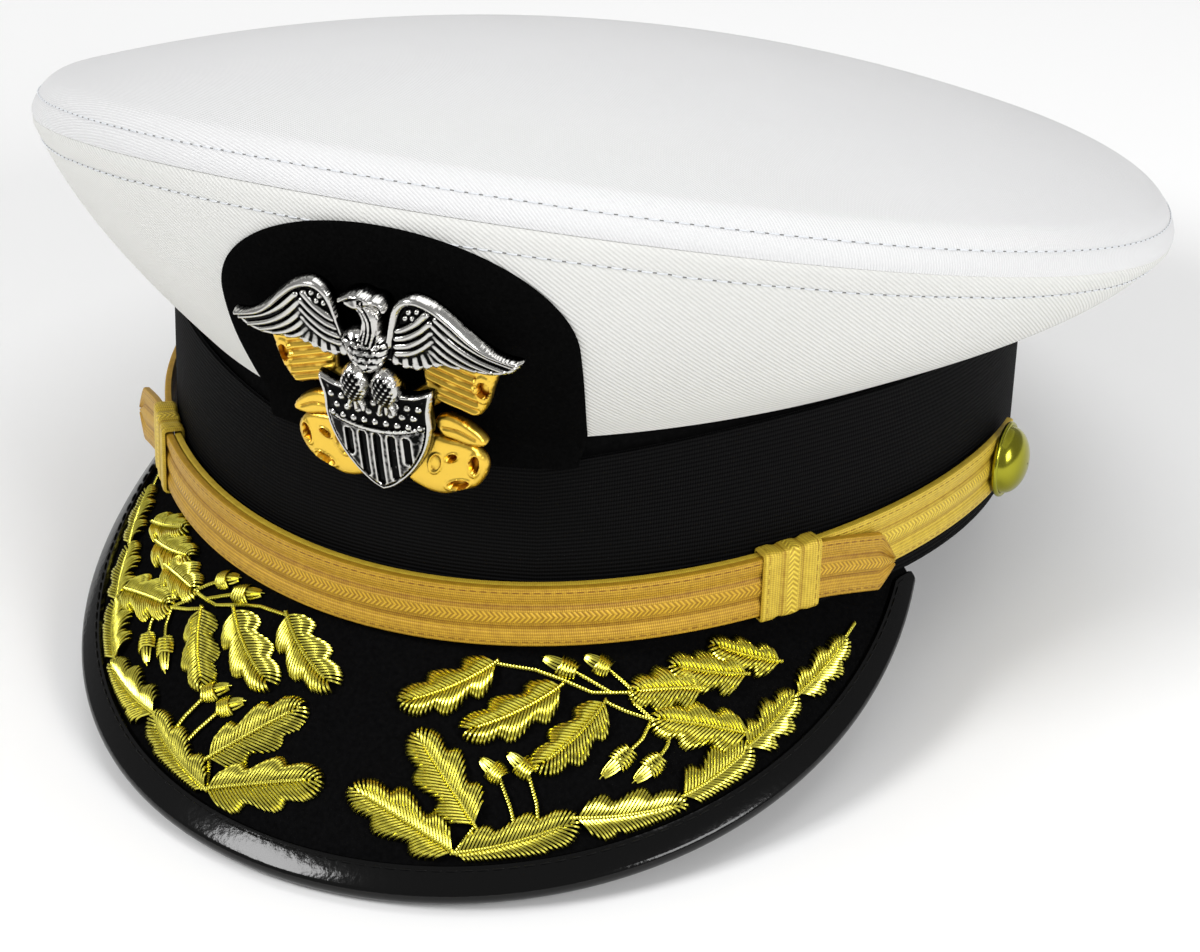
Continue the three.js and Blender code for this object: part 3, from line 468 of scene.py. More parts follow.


# Lit and shaded copies of one white twill: the side panels are painted a little darker and warmer than the top, as
# painted shade.
WHITE_SIDE = twill("white twill side", (0.64, 0.64, 0.615), (0.80, 0.80, 0.775))
WHITE_TOP = twill("white twill top", (0.69, 0.69, 0.695), (0.80, 0.80, 0.805))
RIBBON = ribbon_weave()
FRAME_BLACK = black_cloth("black buckram", (0.0015, 0.0015, 0.0016), (0.006, 0.006, 0.006))
FELT = black_cloth("black felt", (0.001, 0.001, 0.001), (0.0045, 0.0045, 0.0045), 1400)
PEAK_CLOTH = black_cloth("black wool", (0.0012, 0.0012, 0.0013), (0.0055, 0.0055, 0.0058), 1100)
PATENT = patent()
# One lace in two copies for light and shade: the front half and left point painted darker, the back half and keepers
# painted lighter.
LACE = lace("gold lace", (0.24, 0.10, 0.003), (0.74, 0.45, 0.03), 0.3)
LACE_PAINTED_LIGHTER = lace("bright gold lace", (0.36, 0.20, 0.008), (0.90, 0.68, 0.07), 0.3)
BULLION = toned("gold bullion wire", (0.16, 0.12, 0.002), (0.93, 0.86, 0.13), 0.27, 0.3, 0.95)
GILT = metal("greenish gilt", (0.30, 0.29, 0.02), (0.43, 0.41, 0.04), 0.2, 60)
THREAD_WHITE = new_material("white thread", (0.72, 0.74, 0.77), 0.6)


def piece(obj, mat, slot, *nodes):
    obj.data.materials.append(mat)
    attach(obj, "root")
    if nodes:
        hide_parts(*nodes)
    return obj


# ---- band ----
ROUND = np.arange(0, 360, 1.5)


def band_wall(name, outer, thick, foot, top, heights=6):
    share = np.linspace(0, 1, heights)
    a = ROUND[:, None]
    z = foot(a) + (top(a) - foot(a)) * share
    face = band_point(np.broadcast_to(a, z.shape), np.full(z.shape, outer), z)
    ways = -band_outward(ROUND)[:, None, :]
    rows = wall(face, thick, ways, hem=0.3)
    return lofted(name, rows, ring=True)


FRAME_OUT = -RIBBON_WALL - GAP
piece(
    band_wall("head_frame", FRAME_OUT, FRAME_WALL, band_foot,
              lambda a: height_round(a, *CROWN_FOOT) + FRAME_TOP_HIDDEN),
    FRAME_BLACK, "frame_black", "band_frame")
piece(
    band_wall("ribbon", 0, RIBBON_WALL, lambda a: band_foot(a) + RIBBON_HEM,
              lambda a: height_round(a, *RIBBON_TOP), 24),
    RIBBON, "ribbon_black", "band_ribbon")


# ---- crown ----
def inward_ways(points, a):
    """Inward direction of each profile, in the vertical plane of its angle."""
    along = np.gradient(points, axis=1)
    away = band_outward(a)[:, None, :]
    level = (along * away).sum(-1)
    return unit(stack(-along[..., 2] * away[..., 0], -along[..., 2] * away[..., 1], level))


def crown_side():
    share = np.concatenate([np.linspace(0, 0.8, 17), np.linspace(0.82, 1, 16)])
    face = side_point(ROUND[:, None], share[None, :])
    ways = inward_ways(face, ROUND)
    below = np.linalg.norm(face - face[:, -1:], axis=2)
    sink = 0.45 * np.exp(-(below / 0.7) ** 2) + 0.16 * np.exp(-((below - SEAM_STITCH_OFF) / 0.9) ** 2)
    face = face + ways * sink[..., None]
    rows = wall(face, CLOTH_WALL, ways, hem=0.25)
    return lofted("crown_side_panels", rows, ring=True)


def crown_top():
    share = np.concatenate([
        1 - ROLL_SHARE * (1 - np.cos(np.linspace(0, np.pi / 2, 14))) ,
        np.linspace(0.94, 0.04, 24),
    ])
    face = top_point(ROUND[:, None], share[None, :])
    ways = inward_ways(face, ROUND)
    up = stack(0, math.sin(RIM_TILT * RAD), math.cos(RIM_TILT * RAD))
    flip = np.where((ways[:, 2:] * up).sum(-1, keepdims=True) > 0, -1.0, 1.0)
    ways[:, 2:] *= flip
    above = np.linalg.norm(face - face[:, :1], axis=2)
    sink = 0.45 * np.exp(-(above / 0.7) ** 2) + 0.16 * np.exp(-((above - SEAM_STITCH_OFF) / 0.9) ** 2)
    face = face + ways * sink[..., None]
    inner = face + ways * CLOTH_WALL
    outer_pole = top_point(np.zeros(1), np.zeros(1))
    inner_pole = outer_pole - up * CLOTH_WALL
    count, cols = face.shape[:2]
    points = np.concatenate([face.reshape(-1, 3), inner.reshape(-1, 3), outer_pole, inner_pole])
    index, _, _ = grid_faces(count, cols, True, False)
    faces = index[:, ::-1].tolist() + (index + count * cols).tolist()
    pole = 2 * count * cols
    for i in range(count):
        k = (i + 1) % count
        faces.append([i * cols, k * cols, k * cols + count * cols, i * cols + count * cols])
        faces.append([i * cols + cols - 1, pole, k * cols + cols - 1])
        faces.append([i * cols + cols - 1 + count * cols, k * cols + cols - 1 + count * cols, pole + 1])
    steps = np.linalg.norm(np.diff(face, axis=1, append=np.broadcast_to(outer_pole, (count, 1, 3))), axis=2)
    from_pole = steps[:, ::-1].cumsum(1)[:, ::-1, None]
    spread = unit(face[:, -1:, :2] - outer_pole[:, :2]) * from_pole / 1000
    flat = np.concatenate([spread.reshape(-1, 2), spread.reshape(-1, 2), np.zeros((2, 2))])
    uvs = [flat[v].tolist() for f in faces for v in f]
    return add_mesh("crown_top_cloth", points, faces, uvs)


piece(crown_side(), WHITE_SIDE, "white_twill", "crown_side")
piece(crown_top(), WHITE_TOP, "white_twill", "crown_top")

# ---- peak ----
PEAK_A = np.linspace(-PEAK_END, PEAK_END, 141)


def visor():
    rows = []
    for a in PEAK_A:
        edge = peak_depth(a) - BINDING_WALL - GAP
        out = np.linspace(BOARD_ROOT, edge, 12)
        upper = peak_point(a, out, 0)
        lower = peak_point(a, out[::-1], -BOARD_WALL)
        rows.append(np.concatenate([upper, lower]))
    return lofted("visor_board", rows)


def binding():
    rows = []
    for a in PEAK_A:
        edge = peak_depth(a)
        start = max(edge - BINDING_WIDTH, GAP)
        over = GAP + BINDING_WALL
        under = -BOARD_WALL - GAP - BINDING_WALL
        middle = (over + under) / 2
        half = (over - under) / 2
        turn = np.linspace(np.pi / 2, -np.pi / 2, 11)
        out = [start, start + 0.35, start + 1.2] + (edge - half * 0.8 + half * 0.8 * np.cos(turn)).tolist()
        lift = [GAP, over - 0.1, over] + (middle + half * np.sin(turn)).tolist()
        out += [start, start, edge - 1.1, edge - 1.1]
        lift += [under, -BOARD_WALL - GAP, -BOARD_WALL - GAP, GAP]
        rows.append(peak_point(a, np.array(out), np.array(lift)))
    return lofted("visor_edge_binding", rows)


piece(visor(), PEAK_CLOTH, "peak_cloth", "visor")
piece(binding(), PATENT, "patent_leather", "visor_binding")


# ---- chin strap ----
def tip_half(a):
    share = np.clip((np.abs(a) - (STRAP_TIP_AT - STRAP_TIP_LENGTH)) / STRAP_TIP_LENGTH, 0, 1)
    return STRAP_WIDTH / 2 * (1 - 0.85 * share ** 1.2)


CROSS_FROM = KEEPER_FROM + 1.2
CROSS_TO = KEEPER_TO - 1.8


def outer_offset(a):
    share = np.clip((-a - CROSS_FROM) / (CROSS_TO - CROSS_FROM), 0, 1)
    return OUTER_TRACK + (INNER_TRACK - OUTER_TRACK) * share


def free_end_share(a):
    return np.clip((np.abs(a) - KEEPER_TO) / (STRAP_TIP_AT - KEEPER_TO), 0, 1)


def free_end_middle(a):
    return strap_middle(a) - STRAP_TIP_DROP * free_end_share(a) ** 1.25


def flare_offset(a):
    return OUTER_TRACK + STRAP_TIP_FLARE * free_end_share(a) ** 1.5


# height across the strap (share of its half width, raised part of the wall)
STRAP_RELIEF = [
    (-1.0, 0.55), (-0.97, 0.9), (-0.9, 1.0), (-0.62, 1.0), (-0.5, 0.78), (-0.44, 0.66), (-0.34, 0.66),
    (-0.27, 0.86), (-0.12, 0.97), (0.12, 0.97), (0.27, 0.86), (0.34, 0.66), (0.44, 0.66), (0.5, 0.78),
    (0.62, 1.0), (0.9, 1.0), (0.97, 0.9), (1.0, 0.55),
]


RELIEF_ACROSS = np.array([place for place, _ in STRAP_RELIEF])
RELIEF_HIGH = np.array([high for _, high in STRAP_RELIEF])
STRAP_CUT = np.concatenate([RELIEF_ACROSS * STRAP_WIDTH / 2, [STRAP_WIDTH / 2, -STRAP_WIDTH / 2]])


def strap(name, start, end, middle, offset, half):
    """A stretch of strap; its cut ends lean back towards the middle of the lace at a point."""
    rows = []
    steps = math.ceil((end - start) / 0.6)
    places = np.unique(np.concatenate([np.linspace(start, end, steps + 1), np.arange(60.8, 63.4, 0.2) if end > 0
                                       else -np.arange(60.8, 63.4, 0.2)]))
    for a in places[(places >= start) & (places <= end)]:
        z, h, o = middle(a), half(a), offset(a)
        face = band_point(a, o + STRAP_WALL * RELIEF_HIGH, z + h * RELIEF_ACROSS)
        back = band_point(a, np.full(2, o), z + h * np.array([1.0, -1.0]))
        rows.append(np.concatenate([face, back]))
    return lofted(name, rows, cross=STRAP_CUT)


STRAP_END_AT = BUTTON_AT + 4.4
piece(strap("strap_front_half", -STRAP_END_AT, STRAP_TIP_AT,
            lambda a: free_end_middle(a) if a > 0 else strap_middle(a), outer_offset,
            lambda a: tip_half(a) if a > 0 else STRAP_WIDTH / 2), LACE, "gold_lace", "strap_outer")
piece(strap("strap_back_half", -CROSS_FROM + 1, STRAP_END_AT, strap_middle, lambda a: INNER_TRACK,
            lambda a: STRAP_WIDTH / 2), LACE_PAINTED_LIGHTER, "gold_lace", "strap_inner")
piece(strap("strap_left_point", -STRAP_TIP_AT, -CROSS_TO - 0.6, free_end_middle, flare_offset, tip_half),
      LACE, "gold_lace", "strap_tip_left")


def keeper(side):
    """The same lace folded round both halves: rows go round the loop, columns across the lace."""
    outer = OUTER_TRACK + STRAP_WALL + GAP
    half = STRAP_WIDTH / 2 + KEEPER_MARGIN + GAP - KEEPER_WALL
    inner = GAP + KEEPER_WALL
    corner = 0.5
    loop = []
    for out, up, first in ((outer, half, 0), (inner, half, 90), (inner, -half, 180), (outer, -half, 270)):
        centre = (out - math.copysign(corner, out - 2), up - math.copysign(corner, up))
        for t in np.linspace(first, first + 90, 5) * RAD:
            way = (math.cos(t), math.sin(t))
            loop.append((centre[0] + corner * way[0], centre[1] + corner * way[1], way))
    finer = []
    for (o0, z0, w0), (o1, z1, w1) in zip(loop, loop[1:] + loop[:1]):
        parts = max(1, int(math.hypot(o1 - o0, z1 - z0) / 1.0))
        for k in range(parts):
            t = k / parts
            finer.append((o0 + (o1 - o0) * t, z0 + (z1 - z0) * t, w0))
    a = (KEEPER_FROM + (KEEPER_TO - KEEPER_FROM) * (RELIEF_ACROSS + 1) / 2) * side
    z = strap_middle(a)
    rows = []
    for out, up, (wo, wz) in finer:
        thick = KEEPER_WALL * (0.35 + 0.65 * (RELIEF_HIGH - 0.55) / 0.45)
        face = band_point(a, out + wo * thick, z + up + wz * thick)
        ends = np.array([a[-1], a[0]])
        back_z = np.array([z[-1], z[0]])
        back = band_point(ends, np.full(2, out), back_z + up)
        rows.append(np.concatenate([face, back]))
    return lofted("keeper_loop_" + ("right" if side > 0 else "left"), rows, ring=True, cross=STRAP_CUT)


piece(keeper(-1), LACE_PAINTED_LIGHTER, "gold_lace", "keeper_left")
piece(keeper(1), LACE_PAINTED_LIGHTER, "gold_lace", "keeper_right")


# ---- buttons ----
def lathe_button(side):
    """A dome with a rolled rim, on a shank that goes through the strap."""
    a = float(BUTTON_AT * side)
    away = band_outward(np.array(a))
    across = unit(np.cross(away, [0, 0, 1]))
    start = band_point(np.array(a), np.array(0.0), strap_middle(a))
    r = BUTTON_RADIUS
    back = INNER_TRACK + STRAP_WALL + GAP
    turn = np.linspace(0.1, np.pi / 2, 14)
    rim = np.linspace(-np.pi / 2, np.pi / 2, 8)
    profile = [(0.75, GAP), (1.5, GAP), (1.5, back), (r - 1.4, back)]
    profile += [(r - 0.55 + 0.55 * math.cos(t), back + 0.6 + 0.6 * math.sin(t)) for t in rim]
    profile += [(r - 0.85, back + 1.05)]
    profile += [((r - 1.0) * math.cos(t), back + 1.1 + (BUTTON_DOME - 1.1) * math.sin(t)) for t in turn[:-1]]
    profile += [(0.25, back + BUTTON_DOME)]
    rows = []
    for t in np.arange(0, 360, 7.5) * RAD:
        way = across * math.cos(t) + np.array([0, 0, 1]) * math.sin(t)
        rows.append([start + way * radius + away * height for radius, height in profile])
    return lofted("button_dome_" + ("right" if side > 0 else "left"), rows, ring=True, uv=False)


piece(lathe_button(-1), GILT, "gilt_metal", "button_left")
piece(lathe_button(1), GILT, "gilt_metal", "button_right")


# ---- felt patch ----
def front_surface(x, z):
    x, z = np.broadcast_arrays(np.asarray(x, float), np.asarray(z, float))
    a = x / BAND_HALF_WIDTH / RAD
    share = np.full_like(a, 0.5)
    found = side_point(a, share)
    for _ in range(30):
        a = a + (x - found[..., 0]) * 0.5
        share = share + (z - found[..., 2]) / (RIM_CENTRE_Z - CROWN_FOOT[0]) / 3
        found = side_point(a, np.maximum(0, share))
    return stack(x, found[..., 1], z)


def front_outward(x, z):
    across = front_surface(x + 1, z) - front_surface(x - 1, z)
    upward = front_surface(x, z + 1) - front_surface(x, z - 1)
    return unit(np.cross(across, upward))


PATCH_FOOT = RIBBON_TOP[0] + GAP


def patch_half(z):
    low = np.clip((z - PATCH_FOOT) / (PATCH_SHOULDER_Z - PATCH_FOOT), 0, 1)
    high = np.clip((z - PATCH_SHOULDER_Z) / (PATCH_TOP_Z - PATCH_SHOULDER_Z), 0, 1)
    below = PATCH_FOOT_HALF_WIDTH + (PATCH_HALF_WIDTH - PATCH_FOOT_HALF_WIDTH) * np.sin(low * np.pi / 2)
    return np.where(z < PATCH_SHOULDER_Z, below, PATCH_HALF_WIDTH * np.sqrt(1 - high ** 2))


def patch():
    turn = np.linspace(0, np.pi / 2, 40)
    z = np.concatenate([np.linspace(PATCH_FOOT, PATCH_SHOULDER_Z, 16)[:-1],
                        PATCH_SHOULDER_Z + (PATCH_TOP_Z - PATCH_SHOULDER_Z) * np.sin(turn[:-1])])[:, None]
    share = np.linspace(-1, 1, 41)
    x = BADGE_SIDE + patch_half(z) * share
    base = front_surface(x, z)
    way = front_outward(x, z)
    edge = np.minimum((1 - np.abs(share)) * PATCH_HALF_WIDTH, PATCH_TOP_Z - z)
    thick = GAP + PATCH_WALL * np.sqrt(np.clip(edge / 0.8, 0.05, 1))
    face = base + way * thick[..., None]
    inner = base + way * GAP
    rows = np.concatenate([face, inner[:, ::-1]], 1)
    return lofted("felt_patch", rows, sharp=50)


piece(patch(), FELT, "felt_black", "badge_patch")


# ---- bundles of wires and threads ----
class Bundle:
    """Many small closed tubes gathered in one mesh."""

    def __init__(self):
        self.points, self.faces, self.tones, self.count = [], [], [], 0

    def tubes(self, paths, radii, normals, sides=5, raised=None):
        """paths and normals are (m, n, 3), radii (m, n). raised is how high each ply rides, from -1 to 1."""
        paths = np.asarray(paths, float)
        if not len(paths):
            return
        m, n = paths.shape[:2]
        radii = np.broadcast_to(radii, (m, n))
        tangent = unit(np.gradient(paths, axis=1))
        beside = unit(np.cross(tangent, np.broadcast_to(normals, paths.shape)))
        upward = np.cross(beside, tangent)
        turn = 2 * np.pi * np.arange(sides) / sides + np.pi / sides
        ring = (beside[:, :, None] * np.cos(turn)[:, None] + upward[:, :, None] * np.sin(turn)[:, None])
        points = (paths[:, :, None] + ring * radii[:, :, None, None]).reshape(-1, 3)
        tube = np.arange(m)[:, None, None] * (n * sides)
        i = np.arange(n - 1)[None, :, None] * sides
        j = np.arange(sides)[None, None, :]
        k = (j + 1) % sides
        quads = np.stack([tube + i + j, tube + i + k, tube + i + sides + k, tube + i + sides + j], -1)
        first = tube[:, 0] + np.arange(sides)[::-1]
        last = tube[:, 0] + (n - 1) * sides + np.arange(sides)
        self.faces += (quads.reshape(-1, 4) + self.count).tolist()
        self.faces += (first + self.count).tolist() + (last + self.count).tolist()
        self.points.append(points)
        # Painted light: the upper side of each tube is coloured lighter and its underside darker, and in a cord the ply
        # riding high is lighter than the one below.
        if raised is None:
            self.tones.append(np.tile(0.5 + 0.5 * np.sin(turn), m * n))
        else:
            self.tones.append((0.35 + 0.45 * raised[..., None] + 0.25 * np.sin(turn)).clip(0, 1).ravel())
        self.count += len(points)

    def twist(self, path, normal, ply, pitch, sides=5, per_turn=8):
        """A cord of two plies along a path of points."""
        path = np.asarray(path, float)
        step = np.linalg.norm(np.diff(path, axis=0), axis=1)
        reach = np.concatenate([[0], np.cumsum(step)])
        n = max(4, int(math.ceil(reach[-1] / pitch * per_turn)))
        at = np.linspace(0, reach[-1], n)
        line = np.stack([np.interp(at, reach, path[:, c]) for c in range(3)], -1)
        way = np.stack([np.interp(at, reach, np.broadcast_to(normal, path.shape)[:, c]) for c in range(3)], -1)
        tangent = unit(np.gradient(line, axis=0))
        beside = unit(np.cross(tangent, way))
        turn = 2 * np.pi * at / pitch
        turns = np.stack([turn, turn + np.pi])
        paths = line + (beside * np.cos(turns)[..., None] + unit(way) * np.sin(turns)[..., None]) * ply * 0.9
        self.tubes(paths, ply, way[None], sides, np.sin(turns))

    def made(self, name, sharp=60):
        obj = add_mesh(name, np.concatenate(self.points), self.faces, sharp=sharp)
        layer = obj.data.attributes.new("tone", "FLOAT", "POINT")
        layer.data.foreach_set("value", np.concatenate(self.tones).astype(np.float32))
        return obj


# ---- embroidery: places as degrees from the middle and shares of the peak's depth ----
LEAVES = [
    # tip, base, half width in millimetres, bow of the midrib in millimetres
    ((3.9, 0.297), (14.0, 0.099), 5.1, -0.9),
    ((11.2, 0.366), (21.5, 0.171), 5.1, -0.8),
    ((19.0, 0.477), (26.2, 0.231), 4.8, -0.7),
    ((6.4, 0.391), (14.0, 0.7), 5.5, 0.5),
    ((1.6, 0.63), (12.6, 0.8), 5.5, 0.5),
    ((23.2, 0.655), (12.4, 0.8), 5.2, 0.7),
    ((33.4, 0.61), (22.9, 0.65), 5.1, 0.6),
    ((40.7, 0.44), (33.0, 0.59), 5.1, 0.5),
    ((47.1, 0.285), (40.2, 0.445), 4.6, 0.4),
    ((55.5, 0.145), (47.2, 0.295), 3.9, 0.3),
    ((31.0, 0.3), (40.9, 0.4), 5.1, 0.5),
    ((28.9, 0.2), (37.1, 0.21), 5.0, 0.4),
    ((33.6, 0.11), (42.4, 0.185), 4.7, -0.4),
    ((38.8, 0.05), (46.6, 0.165), 3.9, -0.4),
]
ACORNS = [
    ((19.7, 0.076), (22.3, 0.11)),
    ((24.4, 0.068), (26.3, 0.101)),
    ((25.9, 0.49), (27.9, 0.427)),
    ((29.0, 0.512), (30.9, 0.459)),
    ((13.9, 0.461), (15.5, 0.503)),
    ((16.6, 0.434), (18.3, 0.481)),
]
STEMS = [
    ((13.4, 0.104), (18.3, 0.117), (21.5, 0.15), (24.8, 0.196), (29.5, 0.2), (37.1, 0.21)),
    ((28.9, 0.2), (29.3, 0.24), (31.2, 0.305), (36, 0.35), (40.9, 0.4)),
    ((26.2, 0.231), (28.5, 0.27), (31.2, 0.305)),
    ((22.3, 0.11), (24.5, 0.15), (27.0, 0.2)),
    ((26.3, 0.101), (28.0, 0.15), (29.5, 0.2)),
    ((27.9, 0.427), (29.8, 0.37), (31.0, 0.3)),
    ((30.9, 0.459), (32.3, 0.4), (33.0, 0.33)),
    ((15.5, 0.503), (17.0, 0.62), (18.0, 0.74)),
    ((18.3, 0.481), (19.4, 0.6), (19.8, 0.71)),
    ((14.0, 0.69), (12.4, 0.8)),
    ((55.0, 0.15), (57.6, 0.1)),
]
# half width of a leaf as a share, from base to tip: three lobes, each cut back behind its end
LOBES = [
    (0, 0.12), (0.05, 0.34), (0.14, 0.66), (0.25, 0.92), (0.31, 0.9), (0.36, 0.6), (0.42, 0.68), (0.52, 0.9),
    (0.62, 1.0), (0.67, 0.92), (0.71, 0.6), (0.77, 0.66), (0.86, 0.7), (0.94, 0.56), (1.0, 0.34), (1.02, 0),
]
LEAF_HEIGHT = 1.7
WIRE = 0.285
WIRE_PITCH = 0.58
PLY = 0.24
PLY_PITCH = 1.15


def leaf_half(share, half):
    at, wide = zip(*LOBES)
    return half * np.interp(share, at, wide, left=0.1, right=0)


class Run:
    """A run over the peak from one place to another."""

    def __init__(self, start, end, side, bow=0.0):
        self.a, self.o = start[0], start[1] * PEAK_DEPTH
        a1, o1 = end[0], end[1] * PEAK_DEPTH
        middle = np.array([(self.a + a1) / 2 - 0.5, (self.a + a1) / 2 + 0.5])
        ends = peak_point(middle, (self.o + o1) / 2, 0)
        self.scale = np.linalg.norm(ends[1] - ends[0])
        self.along = np.array([(a1 - self.a) * self.scale, o1 - self.o])
        self.length = np.linalg.norm(self.along)
        self.beside = np.array([-self.along[1], self.along[0]]) / self.length
        self.side, self.bow = side, bow

    def spot(self, at, beside):
        """Degrees from the middle and depth down the slope."""
        off = beside + self.bow * 4 * at * (1 - at)
        a = self.a + (self.along[0] * at + self.beside[0] * off) / self.scale
        return a, self.o + self.along[1] * at + self.beside[1] * off

    def place(self, at, beside, lift):
        a, o = self.spot(at, beside)
        return peak_point(a * self.side, o, GAP + lift)


def peak_normal(a):
    return peak_point(a, 0, 1) - peak_point(a, 0, 0)


def leaf(bundle, tip, base, half, bow, side):
    run = Run(base, tip, side, bow)
    normal = peak_normal(np.array(run.a * side))
    paths = []
    for flank in (-1, 1):
        width = half * rng.uniform(0.94, 1.05)
        start = 0.03 + 0.012 * rng.random()
        while start < 0.955:
            lean = (54 - 12 * start - 30 * max(0, start - 0.8) / 0.2) * RAD
            reach = np.linspace(0.15, 9, 120)
            at = start + reach * math.cos(lean) / run.length
            off = reach * math.sin(lean)
            a, o = run.spot(at, flank * off)
            over = (off > leaf_half(at, width)) | (o > peak_depth(a) - BINDING_WIDTH - 0.8)
            end = reach[over.argmax()] * rng.uniform(0.99, 1.015)
            s = np.array([0.0, 0.12, 0.3, 0.5, 0.7, 0.86, 0.96, 1.0])
            t = s * end
            high = LEAF_HEIGHT * min(1, 0.45 + end / 4.5) * rng.uniform(0.97, 1.03)
            lift = high * (0.58 + 0.42 * np.sin(np.pi * s * 0.85)) * np.sqrt(np.clip(1 - s ** 5, 0.01, 1))
            places = run.place(start + t * math.cos(lean) / run.length, flank * t * math.sin(lean), lift - 0.1)
            paths.append(places)
            start += WIRE_PITCH / math.sin(max(lean, 24 * RAD)) / run.length
    bundle.tubes(paths, WIRE, normal, sides=5)
    at = np.linspace(-0.02, 0.86, 9)
    bundle.twist(run.place(at, 0 * at, LEAF_HEIGHT * (0.72 - 0.25 * np.maximum(0, at - 0.6))), normal, PLY, PLY_PITCH)


def acorn(bundle, tip, cup, side):
    run = Run(tip, cup, side)
    normal = peak_normal(np.array(run.a * side))
    nut, cup_half = 1.25, 2.15
    for row, (off, lift) in enumerate(((-0.95, 0.35), (-0.5, 0.8), (0, 1.0), (0.5, 0.8), (0.95, 0.35))):
        at = np.linspace(-0.12, 0.85, 7)
        wide = nut * np.sqrt(np.clip(1 - ((at - 0.75) / 0.95) ** 2, 0.02, 1))
        bundle.tubes([run.place(at, off * wide, 1.25 * lift * wide / nut)], 0.3, normal)
    for k in range(5):
        s = np.linspace(-1, 1, 9)
        for cross in (-1, 1):
            at = 0.66 + 0.14 * k + cross * s * 0.1
            wide = cup_half * math.sqrt(1 - ((k - 1.3) / 4.2) ** 2)
            lift = 1.55 * np.sqrt(np.clip(1 - s ** 2 * 0.98, 0.02, 1)) + 0.06 * cross
            bundle.tubes([run.place(at, s * wide, lift)], 0.24, normal)
    s = np.linspace(0, 1, 5)
    bundle.tubes([run.place(-0.12 - 0.16 * s, 0 * s, 0.7 - 0.5 * s)], 0.22 - 0.1 * s, normal)


def embroidery(side):
    bundle = Bundle()
    for tip, base, half, bow in LEAVES:
        leaf(bundle, tip, base, half, bow, side)
    for tip, cup in ACORNS:
        acorn(bundle, tip, cup, side)
    for places in STEMS:
        table = np.array(places)
        step = np.linspace(0, len(table) - 1, 6 * len(table))
        a = np.interp(step, np.arange(len(table)), table[:, 0])
        o = np.interp(step, np.arange(len(table)), table[:, 1]) * PEAK_DEPTH
        path = peak_point(a * side, o, GAP + 0.42)
        bundle.twist(path, peak_normal(a * side), 0.24, 1.25)
    return bundle.made("embroidery_" + ("right" if side > 0 else "left"))


piece(embroidery(-1), BULLION, "gold_bullion", "embroidery_left")
piece(embroidery(1), BULLION, "gold_bullion", "embroidery_right")

# ---- badge: reliefs drawn flat, x across and h up in millimetres, then bent round the front ----
badge_foot_y = -BAND_HALF_LENGTH - BADGE_FOOT_OFF
heights = PATCH_FOOT + (BADGE_TOUCH_Z - PATCH_FOOT) * np.array([0.25, 0.5, 0.75, 1])
patch_front = front_surface(BADGE_SIDE, heights)[:, 1] - 2 * GAP - PATCH_WALL
badge_lean = math.atan(np.max((badge_foot_y - patch_front) / (heights - BADGE_BASE_Z)))
ANCHOR_TOP = 2.4
SHIELD_BACK = ANCHOR_TOP + 2 * GAP
SHIELD_TOP = SHIELD_BACK + 2.2
EAGLE_BACK = SHIELD_BACK + GAP


def badge_bend(x, h, d):
    out = d - x ** 2 / (2 * BADGE_BEND_RADIUS)
    level, down = math.cos(badge_lean), math.sin(badge_lean)
    return stack(BADGE_SIDE + x, badge_foot_y - h * down - out * level, BADGE_BASE_Z + h * level - out * down)


def curve(points, closed=False, per=6):
    """A smooth line through points."""
    p = np.asarray(points, float)
    n = len(p)
    found = []
    for i in range(n if closed else n - 1):
        if closed:
            a, b, c, d = (p[(i + k) % n] for k in (-1, 0, 1, 2))
        else:
            a, b, c, d = p[max(i - 1, 0)], p[i], p[i + 1], p[min(i + 2, n - 1)]
        for t in np.arange(per) / per:
            found.append(0.5 * (2 * b + (c - a) * t + (2 * a - 5 * b + 4 * c - d) * t ** 2
                                + (3 * b - a - 3 * c + d) * t ** 3))
    if not closed:
        found.append(p[-1])
    return np.array(found)


def nearest(x, h, line):
    """Distance from each place to an open line, and the share along it."""
    a, d = line[:-1], np.diff(line, axis=0)
    q = np.stack([x, h], -1)[..., None, :]
    t = np.clip(((q - a) * d).sum(-1) / np.maximum((d * d).sum(-1), 1e-9), 0, 1)
    off = np.linalg.norm(q - (a + d * t[..., None]), axis=-1)
    k = off.argmin(-1)[..., None]
    return np.take_along_axis(off, k, -1)[..., 0], (k + np.take_along_axis(t, k, -1))[..., 0] / len(d)


def depth_inside(x, h, outline):
    """Depth inside a closed outline, negative outside it."""
    line = np.concatenate([outline, outline[:1]])
    off, _ = nearest(x, h, line)
    inside = np.zeros(x.shape, bool)
    for (x0, h0), (x1, h1) in zip(line[:-1], line[1:]):
        if h0 == h1:
            continue
        crosses = (h0 > h) != (h1 > h)
        inside ^= crosses & (x < (x1 - x0) * (h - h0) / (h1 - h0) + x0)
    return np.where(inside, off, -off)


def rounded(depth, radius):
    return np.sqrt(np.clip(1 - (1 - np.clip(depth / radius, 0, 1)) ** 2, 0, 1))


def blur(values, times):
    for _ in range(times):
        padded = np.pad(values, 1, mode="edge")
        values = (padded[:-2, 1:-1] + padded[2:, 1:-1] + padded[1:-1, :-2] + padded[1:-1, 2:] + values) / 5
    return values


